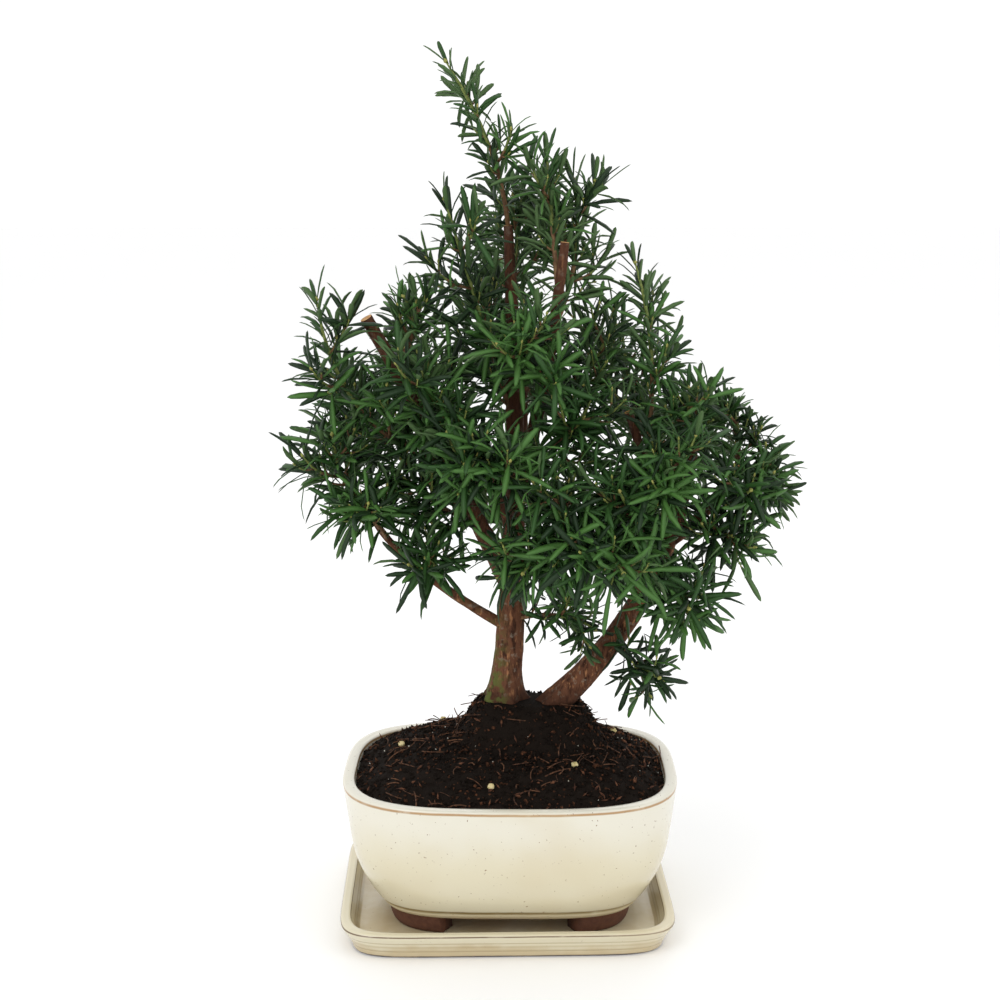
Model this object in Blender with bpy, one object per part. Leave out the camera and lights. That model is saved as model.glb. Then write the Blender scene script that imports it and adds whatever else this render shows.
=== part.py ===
"""A hybrid yew trained as a bonsai, in a cream glazed pot that stands on its own saucer.

Two stems rise from one root mound. Boughs leave them, and each mass of needles is a stem with side
shoots that grow by one seeded rule. Lengths are metres with +Z up, +X to the right of the front and
+Y to the back, and the origin is the middle of the saucer's flat underside. The tables of limbs and
masses give places in millimetres.
"""

import math

import bpy
import numpy as np

MM = 0.001
CLEAR = 0.3 * MM
RING_POINTS = 36

# Saucer
SAUCER_WIDTH = 153.6 * MM
SAUCER_DEPTH = 120.3 * MM
SAUCER_HEIGHT = 12.9 * MM
SAUCER_POWER = 8.0
SAUCER_FLOOR = 5.1 * MM
# Each step of the saucer's skin from its underside over the rim to its floor: height, inset
SAUCER_STEPS = (
    (0.0, 5.6),
    (0.8, 4.9),
    (3.5, 4.1),
    (8.2, 1.9),
    (11.4, 0.0),
    (12.9, 0.9),
    (12.7, 4.3),
    (9.2, 5.9),
    (5.7, 7.6),
    (5.1, 9.2),
)

# Pot
POT_WIDTH = 155.0 * MM
POT_DEPTH = 120.0 * MM
POT_TURN = math.radians(-1.7)
POT_OFFSET = (2.0 * MM, -1.6 * MM)
POT_BASE_Z = 14.0 * MM
POT_RIM_Z = 72.0 * MM
POT_EDGE_Z = 70.6 * MM
POT_BASE_INSET = 18.8 * MM
POT_BASE_DEPTH_SHARE = 0.777
POT_SIDE_SLOPE = 0.15
POT_BELLY_HEIGHT = 31.0 * MM
POT_BELLY_POWER = 2.0
POT_RIM_POWER = 3.3
POT_BASE_POWER = 4.0
POT_WALL = 5.4 * MM
POT_FLOOR_Z = 20.0 * MM
POT_GROOVE_Z = 18.0 * MM
POT_GROOVE_DEPTH = 0.7 * MM
FOOT_WIDTH = 11.0 * MM
FOOT_INSET = 0.8 * MM
FOOT_SPLAY = 2.2 * MM
FOOT_HALF_ANGLE = math.radians(27.0)
FOOT_STEPS = 6
FOOT_SINK = 1.5 * MM

# Soil
SOIL_EDGE_Z = 68.2 * MM
SOIL_TILT = 0.026
SOIL_DOME = 16.0 * MM
MOUND_TOP_Z = 101.0 * MM
MOUND_RADII = (10.8 * MM, 9.4 * MM)
MOUND_FOOT = 15.0 * MM
SOIL_RINGS = 6

# Limbs: parent, share of the parent's length, middle point, tip, radius at each end, sides.
# A stem has no parent, and its foot stands on the mound.
STEM_FEET = {
    "trunk_main": (-0.2, 8.0),
    "trunk_right": (24.5, 2.0),
}
LIMBS = {
    "trunk_main": (None, 0.0, (4.2, 7.5, 205.0), (1.0, 6.0, 322.0), (7.2, 2.1), 12),
    "trunk_right": (None, 0.0, (70.5, -5.0, 171.0), (84.0, -12.0, 251.0), (6.1, 2.3), 12),
    "bough_left": ("trunk_main", 0.26, (-31.0, -9.0, 226.0), (-61.2, -22.0, 284.0), (4.2, 2.7), 8),
    "bough_low_left": ("trunk_main", 0.17, (-41.0, -6.5, 169.0), (-62.0, -12.0, 197.0), (2.4, 1.3), 8),
    "bough_centre": ("trunk_main", 0.43, (17.0, -10.0, 257.0), (25.0, -17.0, 316.0), (3.6, 2.0), 8),
    "bough_right_inner": ("trunk_right", 0.35, (63.0, -20.0, 199.0), (52.4, -28.0, 243.4), (3.0, 1.8), 8),
    "bough_far_right": ("trunk_right", 0.55, (93.0, -8.0, 197.0), (105.0, -12.0, 216.0), (2.8, 1.6), 8),
    "bough_front": ("trunk_main", 0.27, (16.0, -16.0, 173.0), (29.0, -38.0, 187.0), (2.8, 1.5), 8),
    "bough_front_left": ("trunk_main", 0.36, (-2.0, -14.0, 200.0), (-7.0, -32.0, 215.0), (2.6, 1.5), 8),
    "bough_back_left": ("trunk_main", 0.31, (-16.0, 28.0, 188.0), (-36.0, 42.0, 214.0), (3.2, 1.6), 8),
    "bough_back": ("trunk_main", 0.39, (8.0, 30.0, 213.0), (10.0, 47.0, 242.0), (3.2, 1.6), 8),
    "bough_back_right": ("trunk_right", 0.45, (76.0, 20.0, 190.0), (74.0, 40.0, 217.0), (3.0, 1.6), 8),
}
STEM_FLARE = {"trunk_main": 2.8, "trunk_right": 0.6}
FLARE_FADE = 7.5 * MM
FLARE_LOBES = 5
FLARE_LOBE_DEPTH = 0.12
LIMB_RINGS = 9
BOUGH_RINGS = 6

# Masses: limb, share of the limb's length, tip of the main stem, bow of its middle, side shoots,
# their reach, needle length, and the angle that the needles spread to at a shoot's tip
MASSES = {
    "leader": ("trunk_main", 1.0, (-26.0, -6.0, 392.0), (5.0, 0.0, 0.0), 2, 24, 18, 40),
    "column_left": ("trunk_main", 0.62, (-27.0, -12.0, 334.0), (0.0, 0.0, 0.0), 4, 30, 22, 45),
    "column_mid": ("bough_centre", 0.80, (18.0, 2.0, 351.0), (0.0, 4.0, 0.0), 2, 26, 22, 40),
    "column_right": ("bough_centre", 0.66, (30.0, 8.0, 342.0), (6.0, 6.0, 0.0), 3, 28, 22, 40),
    "top_back": ("trunk_main", 0.84, (8.0, 34.0, 334.0), (0.0, 8.0, 0.0), 4, 34, 22, 45),
    "spire_right": ("bough_right_inner", 0.72, (57.0, -4.0, 306.0), (6.0, 4.0, 0.0), 2, 24, 19, 45),
    "inner_right": ("bough_centre", 0.36, (48.0, 4.0, 284.0), (6.0, 0.0, -4.0), 3, 28, 20, 45),
    "left_spire": ("bough_left", 0.42, (-82.0, -26.0, 292.0), (-11.0, -2.0, -10.0), 4, 32, 24, 50),
    "left_crest": ("bough_left", 0.80, (-45.0, -14.0, 292.0), (6.0, 2.0, 0.0), 2, 17, 19, 45),
    "left_inner": ("bough_left", 0.50, (-38.0, -36.0, 266.0), (2.0, -8.0, 0.0), 3, 30, 25, 55),
    "left_arch": ("bough_low_left", 1.0, (-77.0, -19.0, 232.0), (-3.0, 0.0, -3.0), 3, 27, 26, 60),
    "left_low": ("bough_low_left", 0.74, (-66.0, -34.0, 203.0), (0.0, -4.0, 3.0), 3, 22, 22, 65),
    "low_left_sprig": ("bough_low_left", 0.34, (-36.0, -34.0, 180.0), (0.0, -2.0, 4.0), 2, 22, 22, 65),
    "heart_front": ("bough_centre", 0.46, (6.0, -38.0, 280.0), (-2.0, -6.0, 0.0), 4, 30, 23, 60),
    "heart_right": ("bough_centre", 0.22, (36.0, -34.0, 250.0), (2.0, -4.0, -4.0), 4, 30, 24, 60),
    "heart_low": ("bough_right_inner", 0.16, (37.0, -27.0, 186.0), (0.0, -4.0, 2.0), 3, 26, 22, 65),
    "heart_left": ("trunk_main", 0.48, (-46.0, 2.0, 258.0), (-4.0, 4.0, -6.0), 4, 32, 24, 55),
    "heart_low_left": ("bough_left", 0.22, (-47.0, -20.0, 214.0), (0.0, -3.0, -2.0), 4, 28, 24, 60),
    "front_spire": ("bough_front_left", 1.0, (-3.0, -54.0, 230.0), (0.0, -6.0, -2.0), 2, 26, 28, 70),
    "front_left_star": ("bough_front_left", 0.72, (-26.0, -50.0, 238.0), (-2.0, -4.0, -4.0), 3, 28, 25, 75),
    "front_star": ("bough_front", 1.0, (47.0, -74.0, 183.0), (2.0, 0.0, 3.0), 2, 28, 28, 78),
    "front_upper_star": ("bough_front", 0.84, (20.0, -60.0, 220.0), (0.0, -6.0, -2.0), 3, 28, 25, 75),
    "front_low_star": ("bough_front", 0.60, (6.0, -54.0, 178.0), (0.0, -2.0, 4.0), 3, 26, 24, 75),
    "right_front_star": ("bough_right_inner", 0.42, (46.0, -62.0, 215.0), (0.0, -4.0, -3.0), 3, 28, 26, 75),
    "right_mid_star": ("bough_right_inner", 0.62, (68.0, -58.0, 228.0), (2.0, -4.0, -2.0), 3, 28, 25, 75),
    "low_right_star": ("trunk_right", 0.40, (77.0, -58.0, 163.0), (4.0, 0.0, 3.0), 3, 25, 25, 75),
    "hanging_sprig": ("trunk_right", 0.22, (67.0, -40.0, 126.0), (2.0, 2.0, -3.0), 1, 22, 19, 75),
    "under_sprig": ("trunk_main", 0.19, (40.0, -14.0, 141.0), (2.0, -2.0, 5.0), 3, 22, 15, 65),
    "edge_low_right": ("bough_far_right", 0.34, (98.0, -38.0, 190.0), (2.0, 0.0, -2.0), 3, 25, 22, 65),
    "edge_mid_right": ("bough_far_right", 0.74, (104.0, -46.0, 212.0), (0.0, -2.0, -2.0), 2, 24, 24, 75),
    "edge_right": ("bough_far_right", 1.0, (114.0, -16.0, 213.0), (2.0, 0.0, -3.0), 3, 22, 19, 55),
    "crest_right": ("bough_far_right", 0.86, (101.0, -8.0, 243.0), (3.0, 2.0, 0.0), 3, 21, 15, 50),
    "stub_shoots": ("trunk_right", 0.84, (78.0, -32.0, 254.0), (-1.0, -5.0, -2.0), 3, 21, 19, 55),
    "back_edge_right": ("bough_back_right", 1.0, (93.0, 56.0, 222.0), (2.0, 4.0, -2.0), 4, 32, 23, 55),
    "back_top_right": ("bough_back_right", 0.66, (56.0, 40.0, 272.0), (-4.0, 4.0, 0.0), 4, 34, 23, 50),
    "back_low_right": ("bough_back_right", 0.36, (58.0, 54.0, 178.0), (-2.0, 4.0, 3.0), 3, 30, 24, 60),
    "back_mid": ("bough_back", 1.0, (14.0, 68.0, 256.0), (0.0, 4.0, -4.0), 4, 34, 24, 55),
    "back_top": ("bough_back", 0.62, (-10.0, 48.0, 294.0), (-4.0, 6.0, 0.0), 4, 34, 23, 45),
    "back_low": ("bough_back_left", 0.40, (4.0, 62.0, 188.0), (2.0, 4.0, 2.0), 3, 32, 24, 60),
    "back_edge_left": ("bough_back_left", 1.0, (-76.0, 44.0, 232.0), (-4.0, 4.0, -3.0), 4, 34, 25, 55),
    "back_top_left": ("bough_back_left", 0.72, (-46.0, 30.0, 282.0), (-6.0, 6.0, 0.0), 4, 34, 24, 50),
}
STEM_RADIUS = 1.3 * MM
SHOOT_RADIUS = 1.0 * MM
TWIG_SWELL = 1.0
TWIG_TIP_SHARE = 0.55
TWIG_SIDES = 3
STEM_STEPS = 4
SHOOT_STEPS = 2
GOLDEN_TURN = math.radians(137.508)
SIDE_FROM = 0.22
SIDE_TO = 0.86
SIDE_LEAN = math.radians(52.0)
SIDE_LIFT = 0.30
SIDE_SHORTER = 0.45

# Needles: the solid ones are wider than life, so that a few hundred fill the crown
NEEDLE_WIDTH = 6.4 * MM
NEEDLE_THICKNESS = 1.0 * MM
NEEDLE_SPACING = 10.5 * MM
NEEDLE_START = 9.0 * MM
NEEDLE_BASE_LEAN = math.radians(72.0)
NEEDLE_ARCH = 0.09
NEEDLE_DROOP = 0.10
NEEDLE_SHORT_END = 0.78
SHOOT_TURN = 1.3
CROWDING_RADIUS = 0.9 * MM
# Where a twig is measured when its clearance is worked out
TWIG_SHARES = np.linspace(0.0, 1.0, 7)

UP = np.array((0.0, 0.0, 1.0))


def clear_scene():
    for thing in list(bpy.data.objects):
        bpy.data.objects.remove(thing, do_unlink=True)


def material(name, color, roughness, metallic=0.0):
    made = bpy.data.materials.new(name)
    made.use_nodes = True
    surface = made.node_tree.nodes["Principled BSDF"]
    surface.inputs["Base Color"].default_value = (*color, 1.0)
    surface.inputs["Roughness"].default_value = roughness
    surface.inputs["Metallic"].default_value = metallic
    made.diffuse_color = (*color, 1.0)
    return made


def mesh_object(name, points, faces, finish, smooth_angle=None):
    mesh = bpy.data.meshes.new(name)
    mesh.from_pydata([tuple(p) for p in points], [], faces)
    mesh.materials.append(finish)
    if smooth_angle is not None:
        mesh.shade_smooth()
        mesh.set_sharp_from_angle(angle=smooth_angle)
    made = bpy.data.objects.new(name, mesh)
    bpy.context.scene.collection.objects.link(made)
    return made


def unit(vector):
    return vector / np.linalg.norm(vector)


# Closed shapes from rings


def skin(rings):
    """Points and faces of rings with equal point counts, joined by quads and closed by a flat cap at
    each end. Rings turn anticlockwise seen from the side that the stack grows to."""
    count = len(rings[0])
    faces = [tuple(reversed(range(count)))]
    for ring in range(len(rings) - 1):
        low = ring * count
        high = low + count
        for i in range(count):
            j = (i + 1) % count
            faces.append((low + i, low + j, high + j, high + i))
    last = (len(rings) - 1) * count
    faces.append(tuple(range(last, last + count)))
    return np.concatenate(rings), faces


def superellipse(half_width, half_depth, power, height, turn=0.0, middle=(0.0, 0.0), angles=None):
    """A level ring |x/a|^n + |y/b|^n = 1. The power n sets how square its corners are."""
    if angles is None:
        angles = np.linspace(0.0, 2.0 * math.pi, RING_POINTS, endpoint=False)
    c = np.cos(angles)
    s = np.sin(angles)
    x = half_width * np.sign(c) * np.abs(c) ** (2.0 / power)
    y = half_depth * np.sign(s) * np.abs(s) ** (2.0 / power)
    across = x * math.cos(turn) - y * math.sin(turn) + middle[0]
    deep = x * math.sin(turn) + y * math.cos(turn) + middle[1]
    return np.stack([across, deep, np.full_like(across, height)], axis=1)


def union(base, others, solver="MANIFOLD"):
    """Joins the base and the other closed objects into one closed mesh, in the base object."""
    group = bpy.data.collections.new(base.name + "_parts")
    bpy.context.scene.collection.children.link(group)
    for other in others:
        bpy.context.scene.collection.objects.unlink(other)
        group.objects.link(other)
    join = base.modifiers.new("join", "BOOLEAN")
    join.operation = "UNION"
    join.operand_type = "COLLECTION"
    join.collection = group
    join.solver = solver
    apply_modifiers(base)
    for other in others:
        bpy.data.objects.remove(other, do_unlink=True)
    bpy.data.collections.remove(group)


def cut(base, cutter):
    """Takes the cutter's shape out of the base."""
    away = base.modifiers.new("cut", "BOOLEAN")
    away.operation = "DIFFERENCE"
    away.object = cutter
    away.solver = "EXACT"
    apply_modifiers(base)
    bpy.data.objects.remove(cutter, do_unlink=True)


def apply_modifiers(thing):
    view = bpy.context.evaluated_depsgraph_get()
    view.update()
    done = bpy.data.meshes.new_from_object(thing.evaluated_get(view))
    thing.modifiers.clear()
    thing.data = done


# Pot, saucer and soil


def pot_ring(height, inward=0.0, angles=None):
    """The pot's outline at a height: a slightly sloping side over a belly that curves in to the base."""
    belly = 1.0 - (height - POT_BASE_Z) / POT_BELLY_HEIGHT
    curve = max(0.0, belly) ** POT_BELLY_POWER
    slope = POT_SIDE_SLOPE * max(0.0, POT_EDGE_Z - height)
    base_slope = POT_SIDE_SLOPE * (POT_EDGE_Z - POT_BASE_Z)
    inset = slope + (POT_BASE_INSET - base_slope) * curve
    rise = (height - POT_BASE_Z) / (POT_RIM_Z - POT_BASE_Z)
    power = POT_BASE_POWER + (POT_RIM_POWER - POT_BASE_POWER) * min(max(rise, 0.0), 1.0)
    half_width = POT_WIDTH / 2.0 - inset - inward
    half_depth = POT_DEPTH / 2.0 - POT_BASE_DEPTH_SHARE * inset - inward
    return superellipse(half_width, half_depth, power, height, POT_TURN, POT_OFFSET, angles)


def pot_foot(finish, quarter):
    """One corner foot: a bent block that follows the base's corner and draws in towards its own foot."""
    middle = math.radians(45.0 + 90.0 * quarter)
    angles = np.linspace(middle - FOOT_HALF_ANGLE, middle + FOOT_HALF_ANGLE, FOOT_STEPS)
    rings = []
    for height, drawn_in in ((SAUCER_FLOOR + CLEAR, FOOT_SPLAY), (POT_BASE_Z + FOOT_SINK, 0.0)):
        outer = pot_ring(POT_BASE_Z, FOOT_INSET + drawn_in, angles)
        inner = pot_ring(POT_BASE_Z, FOOT_WIDTH, angles)[::-1]
        ring = np.concatenate([outer, inner])
        ring[:, 2] = height
        rings.append(ring)
    return mesh_object(f"foot_{quarter}", *skin(rings), finish)


def build_pot(finish):
    g = POT_GROOVE_Z
    outside = (
        (POT_BASE_Z, 0.9 * MM),
        (POT_BASE_Z + 1.0 * MM, 0.2 * MM),
        (g - 0.8 * MM, 0.0),
        (g, POT_GROOVE_DEPTH),
        (g + 0.8 * MM, 0.0),
        (26.0 * MM, 0.0),
        (33.0 * MM, 0.0),
        (42.0 * MM, 0.0),
        (POT_EDGE_Z, 0.0),
        (POT_RIM_Z, 1.6 * MM),
    )
    inside = (
        (POT_RIM_Z, POT_WALL - 1.8 * MM),
        (POT_EDGE_Z, POT_WALL),
        (42.0 * MM, POT_WALL),
        (28.0 * MM, POT_WALL + 0.5 * MM),
        (POT_FLOOR_Z, POT_WALL + 1.5 * MM),
    )
    rings = [pot_ring(height, inward) for height, inward in outside + inside]
    pot = mesh_object("pot", *skin(rings), finish, math.radians(40.0))
    union(pot, [pot_foot(finish, quarter) for quarter in range(4)])
    return pot


def build_saucer(finish):
    rings = []
    for height, inset in SAUCER_STEPS:
        half_width = SAUCER_WIDTH / 2.0 - inset * MM
        half_depth = SAUCER_DEPTH / 2.0 - inset * MM
        rings.append(superellipse(half_width, half_depth, SAUCER_POWER, height * MM))
    return mesh_object("saucer", *skin(rings), finish, math.radians(40.0))


def mound_ring():
    """The flat top's outline: half a circle round each stem's foot, drawn out to the other."""
    feet = [np.array(STEM_FEET[name]) * MM for name in ("trunk_main", "trunk_right")]
    angles = np.linspace(0.0, 2.0 * math.pi, RING_POINTS, endpoint=False)
    out = np.stack([np.cos(angles), np.sin(angles)], axis=1)
    nearer = np.where(out @ (feet[1] - feet[0]) > 0.0, 1, 0)
    flat = np.array(feet)[nearer] + out * np.array(MOUND_RADII)[nearer][:, None]
    return np.column_stack([flat, np.full(RING_POINTS, MOUND_TOP_Z)])


def build_soil(finish):
    """The root ball: it fills the pot, domes gently from the rim, and rises in an S to the mound."""
    rings = [
        pot_ring(POT_FLOOR_Z + CLEAR, POT_WALL + 1.5 * MM + CLEAR),
        pot_ring(28.0 * MM, POT_WALL + 0.5 * MM + CLEAR),
        pot_ring(42.0 * MM, POT_WALL + CLEAR),
        pot_ring(SOIL_EDGE_Z, POT_WALL + CLEAR),
    ]
    edge = rings[-1]
    edge[:, 2] += SOIL_TILT * edge[:, 1]
    top = mound_ring()
    for step in range(1, SOIL_RINGS + 1):
        share = step / SOIL_RINGS
        ring = edge + (top - edge) * share
        off_mound = np.linalg.norm((ring - top)[:, :2], axis=1) / MOUND_FOOT
        near = np.clip(1.0 - off_mound, 0.0, 1.0)
        rise = near * near * (3.0 - 2.0 * near)
        dome = edge[:, 2] + SOIL_DOME * (1.0 - (1.0 - share) ** 2)
        ring[:, 2] = dome + (MOUND_TOP_Z - dome) * rise
        rings.append(ring)
    return mesh_object("soil", *skin(rings), finish, math.radians(60.0))


# Limbs


def arc(start, middle, end):
    """A quadratic Bezier curve's three control points, for a curve that passes the middle halfway."""
    return np.array([start, 2.0 * middle - (start + end) / 2.0, end])


def on_arc(curve, share):
    t = np.atleast_1d(share)[:, None]
    return (1.0 - t) ** 2 * curve[0] + 2.0 * t * (1.0 - t) * curve[1] + t * t * curve[2]


def heading(curve, share):
    t = np.atleast_1d(share)[:, None]
    way = (1.0 - t) * (curve[1] - curve[0]) + t * (curve[2] - curve[1])
    return way / np.linalg.norm(way, axis=1, keepdims=True)


def on_chords(curve, share, steps):
    """The point at a share of the straight lengths that a twig of so many steps is made of."""
    corners = np.linspace(0.0, 1.0, steps + 1)
    points = on_arc(curve, corners)
    return np.array([np.interp(share, corners, points[:, i]) for i in range(3)])


def arc_length(curve):
    points = on_arc(curve, np.linspace(0.0, 1.0, 17))
    return float(np.linalg.norm(np.diff(points, axis=0), axis=1).sum())


def reference_axis(curve):
    """The world axis that lies furthest from the curve's own direction, to measure turns from."""
    chord = np.abs(unit(curve[2] - curve[0]))
    return np.eye(3)[int(np.argmin(chord))]


def sideways(way, axis, turn):
    """A unit vector square to the way, turned about it from the given axis."""
    first = unit(axis - way * float(axis @ way))
    second = np.cross(way, first)
    return first * math.cos(turn) + second * math.sin(turn)


def limb_curves():
    """Every limb's curve. A bough starts on its parent's own axis."""
    curves = {}
    for name, (parent, share, middle, tip, _, _) in LIMBS.items():
        if parent is None:
            start = np.array((*STEM_FEET[name], MOUND_TOP_Z / MM + CLEAR / MM)) * MM
        else:
            start = on_arc(curves[parent], share)[0]
        curves[name] = arc(start, np.array(middle) * MM, np.array(tip) * MM)
    return curves


def limb_radius(name, curve, share, turn=0.0):
    """The taper from base to tip, with a stem's root flare and its lobes fading out above the foot."""
    base, tip = LIMBS[name][4]
    radius = (base + (tip - base) * share) * MM
    if name in STEM_FLARE:
        fade = math.exp(-share * arc_length(curve) / FLARE_FADE)
        lobes = 1.0 + FLARE_LOBE_DEPTH * fade * math.cos(FLARE_LOBES * turn)
        radius = (radius + STEM_FLARE[name] * MM * fade) * lobes
    return radius


def limb_skin(name, curve, extra=0.0):
    """The limb's rings, each square to its curve. A stem's first ring is cut level with the ground."""
    sides = LIMBS[name][5]
    is_stem = LIMBS[name][0] is None
    count = LIMB_RINGS if is_stem else BOUGH_RINGS
    shares = np.linspace(0.0, 1.0, count)
    axis = reference_axis(curve)
    rings = []
    for share in shares:
        middle = on_arc(curve, share)[0]
        way = heading(curve, share)[0]
        ring = []
        for side in range(sides):
            turn = 2.0 * math.pi * side / sides
            radius = limb_radius(name, curve, share, turn) + extra
            ring.append(middle + sideways(way, axis, turn) * radius)
        ring = np.array(ring)
        if is_stem and share == 0.0:
            ring = ring + way * ((middle[2] - ring[:, 2:3]) / way[2])
        rings.append(ring)
    return skin(rings)


def build_limbs(finish, curves):
    for name, curve in curves.items():
        limb = mesh_object(name, *limb_skin(name, curve), finish, math.radians(50.0))
        parent = LIMBS[name][0]
        if parent is not None:
            around = mesh_object("around", *limb_skin(parent, curves[parent], CLEAR), finish)
            cut(limb, around)


# Clearance between pieces, each read as straight lengths with a radius


class Claims:
    """The space that is taken: straight lengths, each with its radius and its owner's name."""

    def __init__(self):
        self.start = np.empty((0, 3))
        self.end = np.empty((0, 3))
        self.radius = np.empty(0)
        self.owner = np.empty(0, dtype=object)

    def add(self, start, end, radius, owner):
        self.start = np.concatenate([self.start, start])
        self.end = np.concatenate([self.end, end])
        self.radius = np.concatenate([self.radius, np.broadcast_to(radius, len(start))])
        self.owner = np.concatenate([self.owner, np.full(len(start), owner, dtype=object)])

    def is_free(self, start, end, radius, but=None):
        """Whether the lengths keep clear of every owner but the named one."""
        keep = self.owner != but
        if not keep.any():
            return True
        apart = length_distance(start, end, self.start[keep], self.end[keep])
        own = np.broadcast_to(radius, len(start))
        return bool((apart > self.radius[keep][None, :] + own[:, None] + CLEAR).all())


def length_distance(start, end, other_start, other_end):
    """The least distance between each of one set of straight lengths and each of another."""
    d1 = (end - start)[:, None, :]
    d2 = (other_end - other_start)[None, :, :]
    r = start[:, None, :] - other_start[None, :, :]
    a = (d1 * d1).sum(-1)
    e = (d2 * d2).sum(-1)
    f = (d2 * r).sum(-1)
    c = (d1 * r).sum(-1)
    b = (d1 * d2).sum(-1)
    spread = np.maximum(a * e - b * b, 1e-18)
    s = np.clip((b * f - c * e) / spread, 0.0, 1.0)
    t = np.clip((b * s + f) / e, 0.0, 1.0)
    s = np.clip((b * t - c) / a, 0.0, 1.0)
    gap = r + d1 * s[..., None] - d2 * t[..., None]
    return np.sqrt((gap * gap).sum(-1))


def claim_limbs(claims, curves):
    shares = np.linspace(0.0, 1.0, 13)
    for name, curve in curves.items():
        points = on_arc(curve, shares)
        radii = np.array([limb_radius(name, curve, share) for share in shares[:-1]])
        claims.add(points[:-1], points[1:], radii, name)


# Foliage


def twig_radius(start_radius, share):
    """A twig tapers to its tip, and swells by half a sine wave between its ends."""
    taper = 1.0 + (TWIG_TIP_SHARE - 1.0) * share
    return start_radius * (taper + TWIG_SWELL * math.sin(math.pi * share))


def twig(curve, start_radius, steps):
    """A three-sided twig along a curve: the slim core of its spray of needles."""
    axis = reference_axis(curve)
    rings = []
    for share in np.linspace(0.0, 1.0, steps + 1):
        middle = on_arc(curve, share)[0]
        way = heading(curve, share)[0]
        radius = twig_radius(start_radius, share)
        turns = [2.0 * math.pi * side / TWIG_SIDES for side in range(TWIG_SIDES)]
        rings.append(np.array([middle + sideways(way, axis, turn) * radius for turn in turns]))
    return skin(rings)


def needle(root, middle, tip, across, over):
    """One needle of six faces: a long flat diamond, widest at the middle of its arch, with a low keel."""
    belt = (
        middle + across * NEEDLE_WIDTH / 2.0,
        middle + over * NEEDLE_THICKNESS,
        middle - across * NEEDLE_WIDTH / 2.0,
    )
    points = np.array((root, *belt, tip))
    faces = []
    for i in range(3):
        j = (i + 1) % 3
        faces.append((0, 1 + j, 1 + i))
        faces.append((4, 1 + i, 1 + j))
    return points, faces


def stem_start(curve, limb, limb_curve):
    """The share of a mass's stem at which its blunt end first stands clear of its limb."""
    shares = np.linspace(0.0, 1.0, 401)
    along = np.linspace(0.0, 1.0, 201)
    line = on_arc(limb_curve, along)
    limb_radii = np.array([limb_radius(limb, limb_curve, share) for share in along])
    end_way = heading(limb_curve, 1.0)[0]
    axis = reference_axis(curve)
    for share in shares:
        middle = on_arc(curve, share)[0]
        way = heading(curve, share)[0]
        turns = [2.0 * math.pi * side / TWIG_SIDES for side in range(TWIG_SIDES)]
        corners = np.array([middle + sideways(way, axis, turn) * STEM_RADIUS for turn in turns])
        apart = np.linalg.norm(corners[:, None, :] - line[None, :, :], axis=2)
        gaps = (apart - limb_radii[None, :]).min(axis=1)
        past_end = (corners - line[-1]) @ end_way
        if np.all((gaps > CLEAR) | (past_end > CLEAR)):
            return float(share)
    raise ValueError(f"a mass never leaves {limb}")


def part_of_arc(curve, start):
    """The rest of a curve from the given share on, as a curve of its own."""
    first = on_arc(curve, start)[0]
    control = (1.0 - start) * curve[1] + start * curve[2]
    return np.array([first, control, curve[2]])


def mass_shoots(name, curves):
    """The main stem of a mass and its side shoots: each leaves the stem a golden turn after the last
    one, leans forward, turns up, and is shorter the nearer it is to the tip."""
    limb, share, tip, bow, count, reach, _, _ = MASSES[name]
    start = on_arc(curves[limb], share)[0]
    end = np.array(tip) * MM
    whole = arc(start, (start + end) / 2.0 + np.array(bow) * MM, end)
    main = part_of_arc(whole, stem_start(whole, limb, curves[limb]))
    seed = list(MASSES).index(name)
    chance = np.random.default_rng(seed)
    axis = reference_axis(main)
    first_turn = chance.uniform(0.0, 2.0 * math.pi)
    shoots = [main]
    for side in range(count):
        place = SIDE_FROM + (SIDE_TO - SIDE_FROM) * (side + 0.5) / count
        base = on_chords(main, place, STEM_STEPS)
        way = heading(main, place)[0]
        out = sideways(way, axis, first_turn + side * GOLDEN_TURN)
        length = reach * MM * (1.0 - SIDE_SHORTER * place) * chance.uniform(0.85, 1.15)
        leaning = way * math.cos(SIDE_LEAN) + out * math.sin(SIDE_LEAN)
        leaf_end = base + unit(leaning + UP * SIDE_LIFT) * length
        elbow = base + leaning * length * 0.5
        shoots.append(arc(base, elbow, leaf_end))
    return shoots


def shoot_needles(curve, steps, length, spread, first_turn):
    """Root, middle, tip, width axis and thickness axis of each needle along a shoot. Needles leave
    it a golden turn apart, spread from nearly square at its foot to the mass's angle at its tip, arch
    forwards and droop a little."""
    whole = arc_length(curve)
    axis = reference_axis(curve)
    count = max(1, int((whole - NEEDLE_START) / NEEDLE_SPACING) + 1)
    found = []
    for i in range(count + 2):
        share = min(1.0, (NEEDLE_START + i * NEEDLE_SPACING) / whole)
        share = min(share, 0.985 - 0.012 * (count + 1 - i) if i >= count - 1 else share)
        way = heading(curve, share)[0]
        out = sideways(way, axis, first_turn + i * GOLDEN_TURN)
        lean = NEEDLE_BASE_LEAN + (math.radians(spread) - NEEDLE_BASE_LEAN) * share
        along = way * math.cos(lean) + out * math.sin(lean)
        reach = length * MM * (1.0 - (1.0 - NEEDLE_SHORT_END) * share)
        root = on_chords(curve, share, steps)
        middle = root + along * reach * 0.5 + way * reach * NEEDLE_ARCH
        tip = root + along * reach - UP * reach * NEEDLE_DROOP
        across = unit(np.cross(way, along))
        over = unit(np.cross(tip - root, across))
        found.append((root, middle, tip, across, over))
    return found


def twig_lengths(curve, start_radius):
    """A twig as straight lengths: their starts, their ends and the widest radius of each."""
    points = on_arc(curve, TWIG_SHARES)
    radii = np.array([twig_radius(start_radius, share) for share in TWIG_SHARES])
    return points[:-1], points[1:], np.maximum(radii[:-1], radii[1:])


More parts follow.
